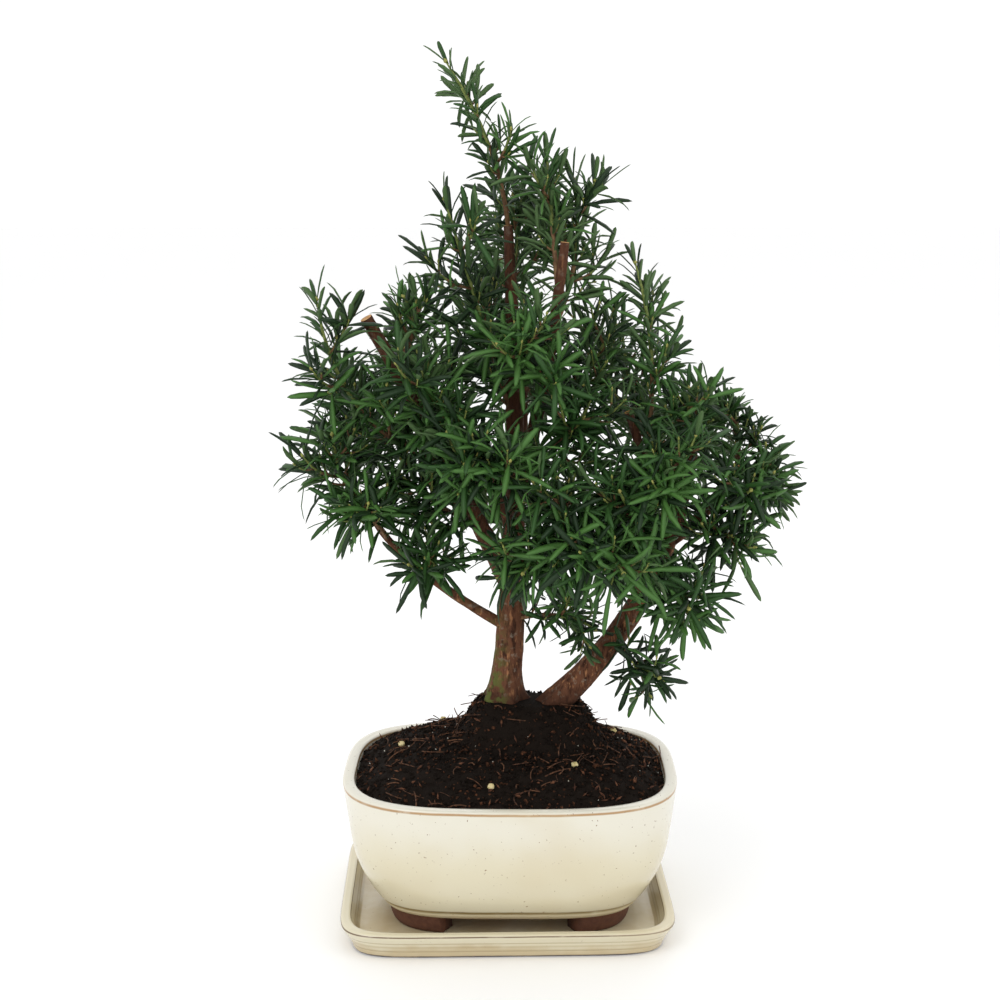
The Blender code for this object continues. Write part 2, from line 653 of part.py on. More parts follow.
def build_mass(name, shoots, claims, finish):
    """Grows one mass: its stem, then each side shoot and each needle that keeps clear of every limb
    and of every other mass, and whose outer part doesn't cross a neighbour of its own."""
    length, spread = MASSES[name][6:]
    pieces = []
    kept = []
    for rank, curve in enumerate(shoots):
        start_radius = STEM_RADIUS if rank == 0 else SHOOT_RADIUS
        if rank > 0:
            lengths = twig_lengths(curve, start_radius)
            if not claims.is_free(*lengths, name):
                continue
            claims.add(*lengths, name)
        steps = STEM_STEPS if rank == 0 else SHOOT_STEPS
        kept.append((curve, steps))
        pieces.append(twig(curve, start_radius, steps))
    crowd = Claims()
    for rank, (curve, steps) in enumerate(kept):
        grown = shoot_needles(curve, steps, length, spread, rank * SHOOT_TURN)
        for root, middle, tip, across, over in grown:
            starts = np.array((root, middle))
            ends = np.array((middle, tip))
            if not claims.is_free(starts, ends, NEEDLE_WIDTH / 2.0, name):
                continue
            outer = np.array((root + (middle - root) * 0.7, middle))
            if not crowd.is_free(outer, ends, CROWDING_RADIUS):
                continue
            far_twigs = [other for other, _ in kept if other is not curve]
            if crosses_twig(outer, ends, far_twigs):
                continue
            crowd.add(outer, ends, CROWDING_RADIUS, name)
            claims.add(starts, ends, NEEDLE_WIDTH / 2.0, name)
            pieces.append(needle(root, middle, tip, across, over))
    stem = mesh_object(name, *pieces[0], finish)
    union(stem, [mesh_object(f"{name}_{i}", *piece, finish) for i, piece in enumerate(pieces[1:])])


def crosses_twig(starts, ends, twigs):
    for curve in twigs:
        points = on_arc(curve, TWIG_SHARES)
        apart = length_distance(starts, ends, points[:-1], points[1:])
        if apart.min() < SHOOT_RADIUS + CROWDING_RADIUS:
            return True
    return False


def main():
    clear_scene()
    glaze = material("cream_glaze", (0.82, 0.76, 0.62), 0.22)
    saucer_glaze = material("saucer_glaze", (0.76, 0.68, 0.52), 0.25)
    peat = material("peat", (0.03, 0.02, 0.015), 0.95)
    bark = material("bark", (0.25, 0.11, 0.06), 0.85)
    green = material("needles", (0.04, 0.14, 0.04), 0.45)
    build_saucer(saucer_glaze)
    build_pot(glaze)
    build_soil(peat)
    curves = limb_curves()
    build_limbs(bark, curves)
    claims = Claims()
    claim_limbs(claims, curves)
    shoots = {name: mass_shoots(name, curves) for name in MASSES}
    for name in MASSES:
        claims.add(*twig_lengths(shoots[name][0], STEM_RADIUS), name)
    for name in MASSES:
        build_mass(name, shoots[name], claims, green)


main()
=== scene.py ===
"""A hybrid yew trained as a bonsai, in its cream glazed pot on its own saucer.

The plant grows by the rule of its solids: two stems, boughs with cut ends, and masses whose stem and
side shoots carry finer twigs and full needles. Places in the tables are millimetres, and everything
else is metres, with +Z up and +Y to the back.
"""

import math

import bpy
import numpy as np
from bpy.props import FloatProperty, FloatVectorProperty, IntProperty, PointerProperty
from mathutils import Matrix


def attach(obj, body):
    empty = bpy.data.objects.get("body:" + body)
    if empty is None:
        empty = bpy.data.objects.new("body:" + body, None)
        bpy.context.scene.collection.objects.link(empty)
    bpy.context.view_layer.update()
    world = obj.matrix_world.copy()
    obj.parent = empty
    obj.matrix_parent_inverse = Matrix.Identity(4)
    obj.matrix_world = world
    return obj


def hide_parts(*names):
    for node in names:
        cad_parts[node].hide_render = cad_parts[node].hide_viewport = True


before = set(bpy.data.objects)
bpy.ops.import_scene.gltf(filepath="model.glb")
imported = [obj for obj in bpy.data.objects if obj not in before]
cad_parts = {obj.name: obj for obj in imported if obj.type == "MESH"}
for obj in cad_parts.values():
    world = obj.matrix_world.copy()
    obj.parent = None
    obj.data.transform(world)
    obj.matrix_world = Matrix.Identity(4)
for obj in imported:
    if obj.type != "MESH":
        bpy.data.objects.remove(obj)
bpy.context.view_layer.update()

bl_info = {
    "name": "Yew bonsai",
    "version": (1, 0, 0),
    "blender": (4, 5, 0),
    "location": "3D View > Sidebar > Bonsai",
    "description": "Builds a yew bonsai with its glazed pot, saucer, soil, bark and needles",
    "category": "Object",
}

MM = 0.001
UP = np.array((0.0, 0.0, 1.0))
GOLDEN_TURN = math.radians(137.508)

# Pot, saucer and soil, as in the solids
POT_TURN = math.radians(-1.7)
POT_OFFSET = (2.0 * MM, -1.6 * MM)
POT_WIDTH = 155.0 * MM
POT_DEPTH = 120.0 * MM
POT_BASE_Z = 14.0 * MM
POT_RIM_Z = 72.0 * MM
POT_EDGE_Z = 70.6 * MM
POT_BASE_INSET = 18.8 * MM
POT_BASE_DEPTH_SHARE = 0.777
POT_SIDE_SLOPE = 0.15
POT_BELLY_HEIGHT = 31.0 * MM
POT_BELLY_POWER = 2.0
POT_RIM_POWER = 3.3
POT_BASE_POWER = 4.0
POT_WALL = 5.4 * MM
POT_FLOOR_Z = 20.0 * MM
POT_GROOVE_Z = 18.0 * MM
FOOT_WIDTH = 11.0 * MM
FOOT_INSET = 0.8 * MM
FOOT_SPLAY = 2.2 * MM
FOOT_HALF_ANGLE = math.radians(27.0)
FOOT_FLOOR = 5.4 * MM
SAUCER_WIDTH = 153.6 * MM
SAUCER_DEPTH = 120.3 * MM
SAUCER_POWER = 8.0
# The saucer's skin from its underside over the rim to its floor: height, inset
SAUCER_STEPS = np.array((
    (0.0, 5.6), (0.8, 4.9), (3.2, 4.3), (3.6, 4.0), (7.9, 2.2), (8.3, 1.8), (11.0, 0.3), (11.9, 0.0),
    (12.6, 0.4), (12.9, 1.3), (12.9, 3.6), (12.6, 4.4), (9.4, 5.8), (9.0, 6.0), (6.2, 7.2), (5.3, 8.6),
    (5.1, 10.6),
))
SOIL_EDGE_Z = 68.2 * MM
SOIL_TILT = 0.026
SOIL_DOME = 16.0 * MM
MOUND_TOP_Z = 101.0 * MM
MOUND_RADII = (10.8 * MM, 9.4 * MM)
MOUND_FOOT = 15.0 * MM
MOUND_TURN = 1.1

# Limbs: parent, share of the parent's length, middle point, tip, radius at each end
STEM_FEET = {"trunk_main": (-0.2, 8.0), "trunk_right": (24.5, 2.0)}
LIMBS = {
    "trunk_main": (None, 0.0, (4.2, 7.5, 205), (1, 6, 322), (7.2, 2.1)),
    "trunk_right": (None, 0.0, (70.5, -5, 171), (84, -12, 251), (6.1, 2.3)),
    "bough_left": ("trunk_main", 0.26, (-31, -9, 226), (-61.2, -22, 284), (4.2, 2.7)),
    "bough_low_left": ("trunk_main", 0.17, (-41, -6.5, 169), (-62, -12, 197), (2.4, 1.3)),
    "bough_centre": ("trunk_main", 0.43, (17, -10, 257), (25, -17, 316), (3.6, 2.0)),
    "bough_right_inner": ("trunk_right", 0.35, (63, -20, 199), (52.4, -28, 243.4), (3.0, 1.8)),
    "bough_far_right": ("trunk_right", 0.55, (93, -8, 197), (105, -12, 216), (2.8, 1.6)),
    "bough_front": ("trunk_main", 0.27, (16, -16, 173), (29, -38, 187), (2.8, 1.5)),
    "bough_front_left": ("trunk_main", 0.36, (-2, -14, 200), (-7, -32, 215), (2.6, 1.5)),
    "bough_back_left": ("trunk_main", 0.31, (-16, 28, 188), (-36, 42, 214), (3.2, 1.6)),
    "bough_back": ("trunk_main", 0.39, (8, 30, 213), (10, 47, 242), (3.2, 1.6)),
    "bough_back_right": ("trunk_right", 0.45, (76, 20, 190), (74, 40, 217), (3.0, 1.6)),
}
STEM_FLARE = {"trunk_main": 2.8, "trunk_right": 0.6}
FLARE_FADE = 7.5 * MM
FLARE_LOBES = 5
FLARE_LOBE_DEPTH = 0.12

# Masses: limb, share of its length, tip of the main stem, bow of its middle, side shoots, their
# reach, needle length, and the angle that the needles spread to at a shoot's tip
MASSES = {
    "leader": ("trunk_main", 1.0, (-26, -6, 392), (5, 0, 0), 2, 24, 18, 40),
    "column_left": ("trunk_main", 0.62, (-27, -12, 334), (0, 0, 0), 4, 30, 22, 45),
    "column_mid": ("bough_centre", 0.80, (18, 2, 351), (0, 4, 0), 2, 26, 22, 40),
    "column_right": ("bough_centre", 0.66, (30, 8, 342), (6, 6, 0), 3, 28, 22, 40),
    "top_back": ("trunk_main", 0.84, (8, 34, 334), (0, 8, 0), 4, 34, 22, 45),
    "spire_right": ("bough_right_inner", 0.72, (57, -4, 306), (6, 4, 0), 2, 24, 19, 45),
    "inner_right": ("bough_centre", 0.36, (48, 4, 284), (6, 0, -4), 3, 28, 20, 45),
    "left_spire": ("bough_left", 0.42, (-82, -26, 292), (-11, -2, -10), 4, 32, 24, 50),
    "left_crest": ("bough_left", 0.80, (-45, -14, 292), (6, 2, 0), 2, 17, 19, 45),
    "left_inner": ("bough_left", 0.50, (-38, -36, 266), (2, -8, 0), 3, 30, 25, 55),
    "left_arch": ("bough_low_left", 1.0, (-77, -19, 232), (-3, 0, -3), 3, 27, 26, 60),
    "left_low": ("bough_low_left", 0.74, (-66, -34, 203), (0, -4, 3), 3, 22, 22, 65),
    "low_left_sprig": ("bough_low_left", 0.34, (-36, -34, 180), (0, -2, 4), 2, 22, 22, 65),
    "heart_front": ("bough_centre", 0.46, (6, -38, 280), (-2, -6, 0), 4, 30, 23, 60),
    "heart_right": ("bough_centre", 0.22, (36, -34, 250), (2, -4, -4), 4, 30, 24, 60),
    "heart_low": ("bough_right_inner", 0.16, (37, -27, 186), (0, -4, 2), 3, 26, 22, 65),
    "heart_left": ("trunk_main", 0.48, (-46, 2, 258), (-4, 4, -6), 4, 32, 24, 55),
    "heart_low_left": ("bough_left", 0.22, (-47, -20, 214), (0, -3, -2), 4, 28, 24, 60),
    "front_spire": ("bough_front_left", 1.0, (-3, -54, 230), (0, -6, -2), 2, 26, 28, 70),
    "front_left_star": ("bough_front_left", 0.72, (-26, -50, 238), (-2, -4, -4), 3, 28, 25, 75),
    "front_star": ("bough_front", 1.0, (47, -74, 183), (2, 0, 3), 2, 28, 28, 78),
    "front_upper_star": ("bough_front", 0.84, (20, -60, 220), (0, -6, -2), 3, 28, 25, 75),
    "front_low_star": ("bough_front", 0.60, (6, -54, 178), (0, -2, 4), 3, 26, 24, 75),
    "right_front_star": ("bough_right_inner", 0.42, (46, -62, 215), (0, -4, -3), 3, 28, 26, 75),
    "right_mid_star": ("bough_right_inner", 0.62, (68, -58, 228), (2, -4, -2), 3, 28, 25, 75),
    "low_right_star": ("trunk_right", 0.40, (77, -58, 163), (4, 0, 3), 3, 25, 25, 75),
    "hanging_sprig": ("trunk_right", 0.22, (67, -40, 126), (2, 2, -3), 1, 22, 19, 75),
    "under_sprig": ("trunk_main", 0.19, (40, -14, 141), (2, -2, 5), 3, 22, 15, 65),
    "edge_low_right": ("bough_far_right", 0.34, (98, -38, 190), (2, 0, -2), 3, 25, 22, 65),
    "edge_mid_right": ("bough_far_right", 0.74, (104, -46, 212), (0, -2, -2), 2, 24, 24, 75),
    "edge_right": ("bough_far_right", 1.0, (114, -16, 213), (2, 0, -3), 3, 22, 19, 55),
    "crest_right": ("bough_far_right", 0.86, (101, -8, 243), (3, 2, 0), 3, 21, 15, 50),
    "stub_shoots": ("trunk_right", 0.84, (78, -32, 254), (-1, -5, -2), 3, 21, 19, 55),
    "back_edge_right": ("bough_back_right", 1.0, (93, 56, 222), (2, 4, -2), 4, 32, 23, 55),
    "back_top_right": ("bough_back_right", 0.66, (56, 40, 272), (-4, 4, 0), 4, 34, 23, 50),
    "back_low_right": ("bough_back_right", 0.36, (58, 54, 178), (-2, 4, 3), 3, 30, 24, 60),
    "back_mid": ("bough_back", 1.0, (14, 68, 256), (0, 4, -4), 4, 34, 24, 55),
    "back_top": ("bough_back", 0.62, (-10, 48, 294), (-4, 6, 0), 4, 34, 23, 45),
    "back_low": ("bough_back_left", 0.40, (4, 62, 188), (2, 4, 2), 3, 32, 24, 60),
    "back_edge_left": ("bough_back_left", 1.0, (-76, 44, 232), (-4, 4, -3), 4, 34, 25, 55),
    "back_top_left": ("bough_back_left", 0.72, (-46, 30, 282), (-6, 6, 0), 4, 34, 24, 50),
}
SIDE_FROM = 0.22
SIDE_TO = 0.86
SIDE_LEAN = math.radians(52.0)
SIDE_LIFT = 0.30
SIDE_SHORTER = 0.45

# Shoots: radius, and the share at their foot that is bare
STEM_SHOOT = (1.25 * MM, 0.12)
SIDE_SHOOT = (0.85 * MM, 0.10)
FINE_SHOOT = (0.55 * MM, 0.14)
SHOOT_RINGS = 9
SHOOT_SIDES = 6
SHOOT_TAPER = 0.45
SHOOT_END = 0.55
BROWN_SHARE = 0.42
BUD_LINE = (-0.4, 1.7)
BUD_SWELL = (0.5, 1.0, 0.8, 0.25)
BUD_RADIUS = 0.85

# Finer twigs: how many on each shoot, how far they reach as a share of the side shoots, and where
FINE_ON_STEM = 6
FINE_ON_SIDE = 2
FINE_STEM_REACH = 0.62
FINE_SIDE_REACH = 0.50
FINE_FROM = 0.14
FINE_SPAN = 0.70
SLIM_SHARE = 0.62
SLIM_MASSES = (
    "leader", "column_left", "column_mid", "column_right", "spire_right", "left_spire", "left_crest",
)

# Needles: lean and length along a shoot, then the shape of each as shares of its length and width
NEEDLE_BASE_LEAN = math.radians(72.0)
NEEDLE_SHORT_END = 0.78
NEEDLE_FEWEST = 5
NEEDLE_LAST = 0.995
NEEDLE_TURN_SPREAD = 0.18
NEEDLE_LEAN_SPREAD = 0.14
NEEDLE_REACH = (0.74, 1.06)
CLOSED_FROM = 0.93
CLOSED_LEAN = (0.35, 0.9)
NEEDLE_STATIONS = (0.06, 0.32, 0.68, 0.90)
NEEDLE_WIDTHS = (0.50, 0.94, 1.0, 0.66)
NEEDLE_WIDTH_SPREAD = (0.82, 1.12)
NEEDLE_ARCH = (0.06, 0.16)
NEEDLE_DROOP = (0.0, 0.10)
NEEDLE_TWIST = 0.28
NEEDLE_POINTS = 18
LIMB_CLEARANCE = 0.5 * MM
FOLIAGE_SEED = 500

# Bark relief: cell sizes, and rises as shares of the limb's radius
BARK_SEED = 61
PLATE_CELL = (2.6 * MM, 2.6 * MM, 8.0 * MM)
SCALE_CELL = (1.1 * MM, 1.1 * MM, 2.6 * MM)
KNOB_CELL = 9.0 * MM
PLATE_RISE = 0.045
SCALE_RISE = 0.06
KNOB_RISE = 0.10

# Loose things on the soil
SOIL_SEED = 21
FIBRE_CRUMB_SHARE = 0.80
CHIP_COUNT = 170
CHIP_SIZE = (4.6 * MM, 1.2 * MM, 0.7 * MM)
ROOTLET_COUNT = 170
ROOTLET_ON_MOUND = 0.4
GRIT_COUNT = 45
GRIT_SIZE = (0.4, 1.0)
FEED_SPOTS = ((-49, 8), (31, -27), (-8, -40), (52, 14), (-30, 34), (12, 42))
FEED_RADIUS = 1.6 * MM
FEED_SEED = 40

# Glaze lines: height and width in millimetres, colour, share
POT_LINES = (
    (70.4, 0.9, (0.36, 0.19, 0.055), 0.9),
    (18.2, 1.5, (0.25, 0.18, 0.07), 1.0),
    (15.6, 2.6, (0.52, 0.42, 0.24), 0.7),
    (14.2, 1.0, (0.26, 0.10, 0.05), 0.9),
)
SAUCER_LINES = (
    (12.15, 0.42, (0.10, 0.050, 0.022), 0.95),
    (8.2, 0.7, (0.36, 0.27, 0.13), 0.45),
    (3.5, 0.7, (0.36, 0.27, 0.13), 0.45),
    (6.0, 0.9, (0.30, 0.22, 0.09), 0.30),
    (0.3, 0.9, (0.05, 0.025, 0.015), 1.0),
)

# Grained finishes: two colours, grains per millimetre, roughness
GRAINS = {
    "cut_wood": ((0.50, 0.24, 0.09), (0.66, 0.40, 0.17), 0.6, 0.7),
    "bark_chip": ((0.045, 0.017, 0.010), (0.17, 0.070, 0.034), 0.5, 0.85),
    "root_fibre": ((0.035, 0.016, 0.010), (0.15, 0.068, 0.034), 0.6, 0.8),
    "feed": ((0.52, 0.42, 0.18), (0.68, 0.58, 0.32), 0.6, 0.7),
    "pale_grit": ((0.45, 0.42, 0.34), (0.70, 0.68, 0.60), 0.8, 0.6),
    "twig_brown": ((0.12, 0.06, 0.03), (0.22, 0.13, 0.06), 0.6, 0.7),
    "twig_green": ((0.12, 0.17, 0.04), (0.22, 0.26, 0.07), 0.5, 0.5),
    "bud_yellow": ((0.26, 0.30, 0.07), (0.40, 0.36, 0.11), 0.8, 0.5),
}

# Heights in millimetres between which the bark's foot, its moss and its shaded top fade
BARK_FOOT_Z = (104.0, 118.0)
MOSS_Z = (112.0, 160.0)
SHADED_BARK_Z = (140.0, 240.0)

# Lights: name, place, size, and the setting that holds its power
LIGHTS = (
    ("key", (-0.7, -0.9, 1.2), 0.9, "key_power"),
    ("fill", (0.9, -0.6, 0.8), 0.9, "fill_power"),
    ("rear", (0.2, 1.1, 1.1), 0.8, "fill_power"),
)
LIGHT_AIM = (0.0, 0.0, 0.18)
SKY_STRENGTH = 1.06
FLOOR_REACH = 6.0

# Camera
CAMERA_PLACE = (-20.33 * MM, -758.60 * MM, 362.05 * MM)
CAMERA_AIM = (-2.72 * MM, 0.0, 198.41 * MM)
CAMERA_LENS = 61.2


# Curves and growth, by the rule of the solids


def unit(vector):
    """Each vector divided by its own length."""
    return vector / np.linalg.norm(vector, axis=-1, keepdims=True)


def arc(start, middle, end):
    """A quadratic Bezier curve's control points, for a curve that passes the middle halfway."""
    return np.array([start, 2.0 * middle - (start + end) / 2.0, end])


def on_arc(curve, share):
    """The quadratic Bezier's points: its three controls weighted (1-t)^2, 2t(1-t) and t^2."""
    t = np.atleast_1d(share)[:, None]
    return (1.0 - t) ** 2 * curve[0] + 2.0 * t * (1.0 - t) * curve[1] + t * t * curve[2]


def heading(curve, share):
    """The unit direction of travel: the two control legs blended by the share."""
    t = np.atleast_1d(share)[:, None]
    return unit((1.0 - t) * (curve[1] - curve[0]) + t * (curve[2] - curve[1]))


def arc_length(curve):
    """The length of sixteen chords along the curve."""
    points = on_arc(curve, np.linspace(0.0, 1.0, 17))
    return float(np.linalg.norm(np.diff(points, axis=0), axis=1).sum())


def reference_axis(curve):
    """The world axis that lies furthest from the curve's own direction."""
    return np.eye(3)[int(np.argmin(np.abs(unit(curve[2] - curve[0]))))]


def sideways(way, axis, turn):
    """Unit vectors square to each way, turned about it from the given axis."""
    first = unit(axis - way * (way @ axis)[..., None])
    second = np.cross(way, first)
    turn = np.asarray(turn)[..., None]
    return first * np.cos(turn) + second * np.sin(turn)


def limb_curves():
    """Every limb's curve. A bough starts on its parent's axis."""
    curves = {}
    for name, (parent, share, middle, tip, _) in LIMBS.items():
        if parent is None:
            start = np.array((*STEM_FEET[name], MOUND_TOP_Z / MM + 0.3)) * MM
        else:
            start = on_arc(curves[parent], share)[0]
        curves[name] = arc(start, np.array(middle) * MM, np.array(tip) * MM)
    return curves


def limb_radius(name, curve, share, turn=0.0):
    """The taper from base to tip, with a stem's root flare and its lobes fading above the foot."""
    base, tip = LIMBS[name][4]
    radius = (base + (tip - base) * share) * MM
    if name in STEM_FLARE:
        fade = np.exp(-share * arc_length(curve) / FLARE_FADE)
        lobes = 1.0 + FLARE_LOBE_DEPTH * fade * np.cos(FLARE_LOBES * turn)
        radius = (radius + STEM_FLARE[name] * MM * fade) * lobes
    return radius


def grow_side(parent, place, out, reach, chance):
    """A shoot that leaves its parent, leans forward, turns up, and is shorter nearer the tip."""
    base = on_arc(parent, place)[0]
    way = heading(parent, place)[0]
    length = reach * (1.0 - SIDE_SHORTER * place) * chance.uniform(0.85, 1.15)
    leaning = way * math.cos(SIDE_LEAN) + out * math.sin(SIDE_LEAN)
    end = base + unit(leaning + UP * SIDE_LIFT) * length
    return arc(base, base + leaning * length * 0.5, end)


def mass_shoots(name, curves):
    """A mass's main stem and side shoots, with the draws of the solids, and their finer twigs, each
    with its radius and bare share."""
    limb, share, tip, bow, count, reach, _, _ = MASSES[name]
    start = on_arc(curves[limb], share)[0]
    end = np.array(tip) * MM
    main = arc(start, (start + end) / 2.0 + np.array(bow) * MM, end)
    chance = np.random.default_rng(list(MASSES).index(name))
    axis = reference_axis(main)
    first_turn = chance.uniform(0.0, 2.0 * math.pi)
    shoots = [(main, *STEM_SHOOT)]
    places = SIDE_FROM + (SIDE_TO - SIDE_FROM) * (np.arange(count) + 0.5) / count
    for side, place in enumerate(places):
        out = sideways(heading(main, place), axis, first_turn + side * GOLDEN_TURN)[0]
        shoots.append((grow_side(main, place, out, reach * MM, chance), *SIDE_SHOOT))
    slim = SLIM_SHARE if name in SLIM_MASSES else 1.0
    finer = []
    for rank, (curve, _, _) in enumerate(shoots):
        twigs = FINE_ON_SIDE if rank else FINE_ON_STEM
        longest = reach * MM * (FINE_SIDE_REACH if rank else FINE_STEM_REACH) * slim
        reference = reference_axis(curve)
        turn = chance.uniform(0.0, 2.0 * math.pi)
        for i in range(twigs):
            place = FINE_FROM + FINE_SPAN * (i + 0.5) / twigs
            out = sideways(heading(curve, place), reference, turn + i * GOLDEN_TURN)[0]
            finer.append((grow_side(curve, place, out, longest, chance), *FINE_SHOOT))
    return shoots + finer


# Meshes from whole arrays


def grid_faces(rows, columns, first=0):
    """Quads of a grid of points whose columns close on themselves."""
    i = np.arange(rows - 1)[:, None] * columns
    j = np.arange(columns)[None, :]
    k = (j + 1) % columns
    quads = np.stack([i + j, i + k, i + columns + k, i + columns + j], axis=-1)
    return quads.reshape(-1, 4) + first


def lathe(rings):
    """Points, quads and end triangles of a stack of rings, closed at both ends by a fan."""
    rows, columns, _ = rings.shape
    hubs = rings[[0, -1]].mean(axis=1)
    points = np.concatenate([rings.reshape(-1, 3), hubs])
    low = rows * columns
    j = np.arange(columns)
    k = (j + 1) % columns
    start = np.stack([k, j, np.full(columns, low)], axis=1)
    last = (rows - 1) * columns
    end = np.stack([last + j, last + k, np.full(columns, low + 1)], axis=1)
    return points, grid_faces(rows, columns), np.concatenate([start, end])


def put_mesh(name, points, quads, triangles, finishes, quad_slots=0, triangle_slots=0, smooth=True):
    """A mesh object from arrays of points, four-sided faces and three-sided faces."""
    quads = np.asarray(quads, dtype=np.int32).reshape(-1, 4)
    triangles = np.asarray(triangles, dtype=np.int32).reshape(-1, 3)
    mesh = bpy.data.meshes.new(name)
    mesh.vertices.add(len(points))
    mesh.vertices.foreach_set("co", np.asarray(points, dtype=np.float32).ravel())
    corners = np.concatenate([quads.ravel(), triangles.ravel()])
    mesh.loops.add(len(corners))
    mesh.loops.foreach_set("vertex_index", corners)
    mesh.polygons.add(len(quads) + len(triangles))
    starts = np.concatenate([np.arange(len(quads)) * 4, len(quads) * 4 + np.arange(len(triangles)) * 3])
    mesh.polygons.foreach_set("loop_start", starts.astype(np.int32))
    slots = np.concatenate([
        np.broadcast_to(quad_slots, len(quads)), np.broadcast_to(triangle_slots, len(triangles))
    ])
    mesh.polygons.foreach_set("material_index", slots.astype(np.int32))
    for finish in finishes:
        mesh.materials.append(finish)
    mesh.update(calc_edges=True)
    mesh.validate()
    if smooth:
        mesh.shade_smooth()
    made = bpy.data.objects.new(name, mesh)
    bpy.context.scene.collection.objects.link(made)
    return made


def dress(piece, slot, *nodes):
    """Puts a piece on the one body, for the nodes that it stands for."""
    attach(piece, "root")
    if nodes:
        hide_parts(*nodes)


def lattice_noise(points, cell, seed):
    """Smooth noise from 0 to 1: random values on a lattice of cells, blended with smooth steps."""
    table = np.random.default_rng(seed).random((32, 32, 32))
    p = np.asarray(points) / np.asarray(cell)
    low = np.floor(p).astype(int)
    f = p - low
    f = f * f * (3.0 - 2.0 * f)
    total = np.zeros(p.shape[:-1])
    for corner in np.ndindex(2, 2, 2):
        at = (low + corner) % 32
        weight = np.prod(np.where(np.array(corner) == 1, f, 1.0 - f), axis=-1)
        total += table[at[..., 0], at[..., 1], at[..., 2]] * weight
    return total


# Shader kit


class Wire:
    """A socket that takes part in sums, so shader maths reads as an expression."""

    def __init__(self, recipe, socket):
        self.recipe = recipe
        self.socket = socket

    def math(self, operation, other, swapped=False):
        """A Math node on this socket and another value, in either order."""
        values = (other, self) if swapped else (self, other)
        return self.recipe.node("ShaderNodeMath", {"operation": operation}, values)

    def __add__(self, other):
        return self.math("ADD", other)

    def __sub__(self, other):
        return self.math("SUBTRACT", other)

    def __mul__(self, other):
        return self.math("MULTIPLY", other)

    def __radd__(self, other):
        return self.math("ADD", other, True)

    def __rsub__(self, other):
        return self.math("SUBTRACT", other, True)

    def __rmul__(self, other):
        return self.math("MULTIPLY", other, True)


class Recipe:
    """A material and its nodes."""

    def __init__(self, name):
        self.material = bpy.data.materials.new(name)
        self.material.use_nodes = True
        self.tree = self.material.node_tree
        self.surface = self.tree.nodes["Principled BSDF"]

    def node(self, kind, settings=None, values=(), out=0):
        """A node of a kind: its settings first, then the values or links of its sockets."""
        made = self.tree.nodes.new(kind)
        for key, value in (settings or {}).items():
            setattr(made, key, value)
        pairs = values.items() if isinstance(values, dict) else enumerate(values)
        for key, value in pairs:
            if isinstance(value, Wire):
                self.tree.links.new(value.socket, made.inputs[key])
            else:
                made.inputs[key].default_value = value
        return Wire(self, made.outputs[out])

    def place(self, stretch=(1.0, 1.0, 1.0)):
        """Object coordinates in millimetres, each axis multiplied by its stretch."""
        whole = self.node("ShaderNodeTexCoord", out=3)
        scale = tuple(1000.0 * s for s in stretch)
        return self.node("ShaderNodeMapping", None, {0: whole, 3: scale})

    def height(self):
        """The height over the ground in millimetres."""
        return self.node("ShaderNodeSeparateXYZ", None, {0: self.place()}, 2)

    def noise(self, place, scale, detail=4.0, roughness=0.55):
        """Clouds of about 0 to 1, with the scale in cells per millimetre."""
        values = {0: place, "Scale": scale, "Detail": detail, "Roughness": roughness}
        return self.node("ShaderNodeTexNoise", None, values)

    def step(self, value, low, high):
        """0 below the low value and 1 above the high one, smooth between them."""
        settings = {"interpolation_type": "SMOOTHSTEP"}
        return self.node("ShaderNodeMapRange", settings, {0: value, 1: low, 2: high, 3: 0.0, 4: 1.0})

    def band(self, value, middle, width):
        """1 at the middle value, fading on both sides over the width."""
        off = self.node("ShaderNodeMath", {"operation": "ABSOLUTE"}, (value - middle,))
        return 1.0 - self.step(off, width * 0.25, width)

    def blend(self, share, first, second):
        """The first colour at share 0 and the second at share 1."""
        made = self.tree.nodes.new("ShaderNodeMix")
        made.data_type = "RGBA"
        for key, value in ((0, share), (6, first), (7, second)):
            if isinstance(value, Wire):
                self.tree.links.new(value.socket, made.inputs[key])
            else:
                made.inputs[key].default_value = value if key == 0 else (*value[:3], 1.0)
        return Wire(self, made.outputs[2])

    def finish(self, color, roughness, bump=None, distance=0.3, strength=0.6, coat=0.0, shine=0.5):
        """Links or sets the surface's sockets, with a bump of the given distance in millimetres."""
        for socket, value in (("Base Color", color), ("Roughness", roughness)):
            if isinstance(value, Wire):
                self.tree.links.new(value.socket, self.surface.inputs[socket])
            elif socket == "Base Color":
                self.surface.inputs[socket].default_value = (*value[:3], 1.0)
            else:
                self.surface.inputs[socket].default_value = value
        self.surface.inputs["Coat Weight"].default_value = coat
        self.surface.inputs["Specular IOR Level"].default_value = shine
        if bump is not None:
            values = {"Strength": strength, "Distance": distance * MM, "Height": bump}
            normal = self.node("ShaderNodeBump", None, values)
            self.tree.links.new(normal.socket, self.surface.inputs["Normal"])
        return self.material


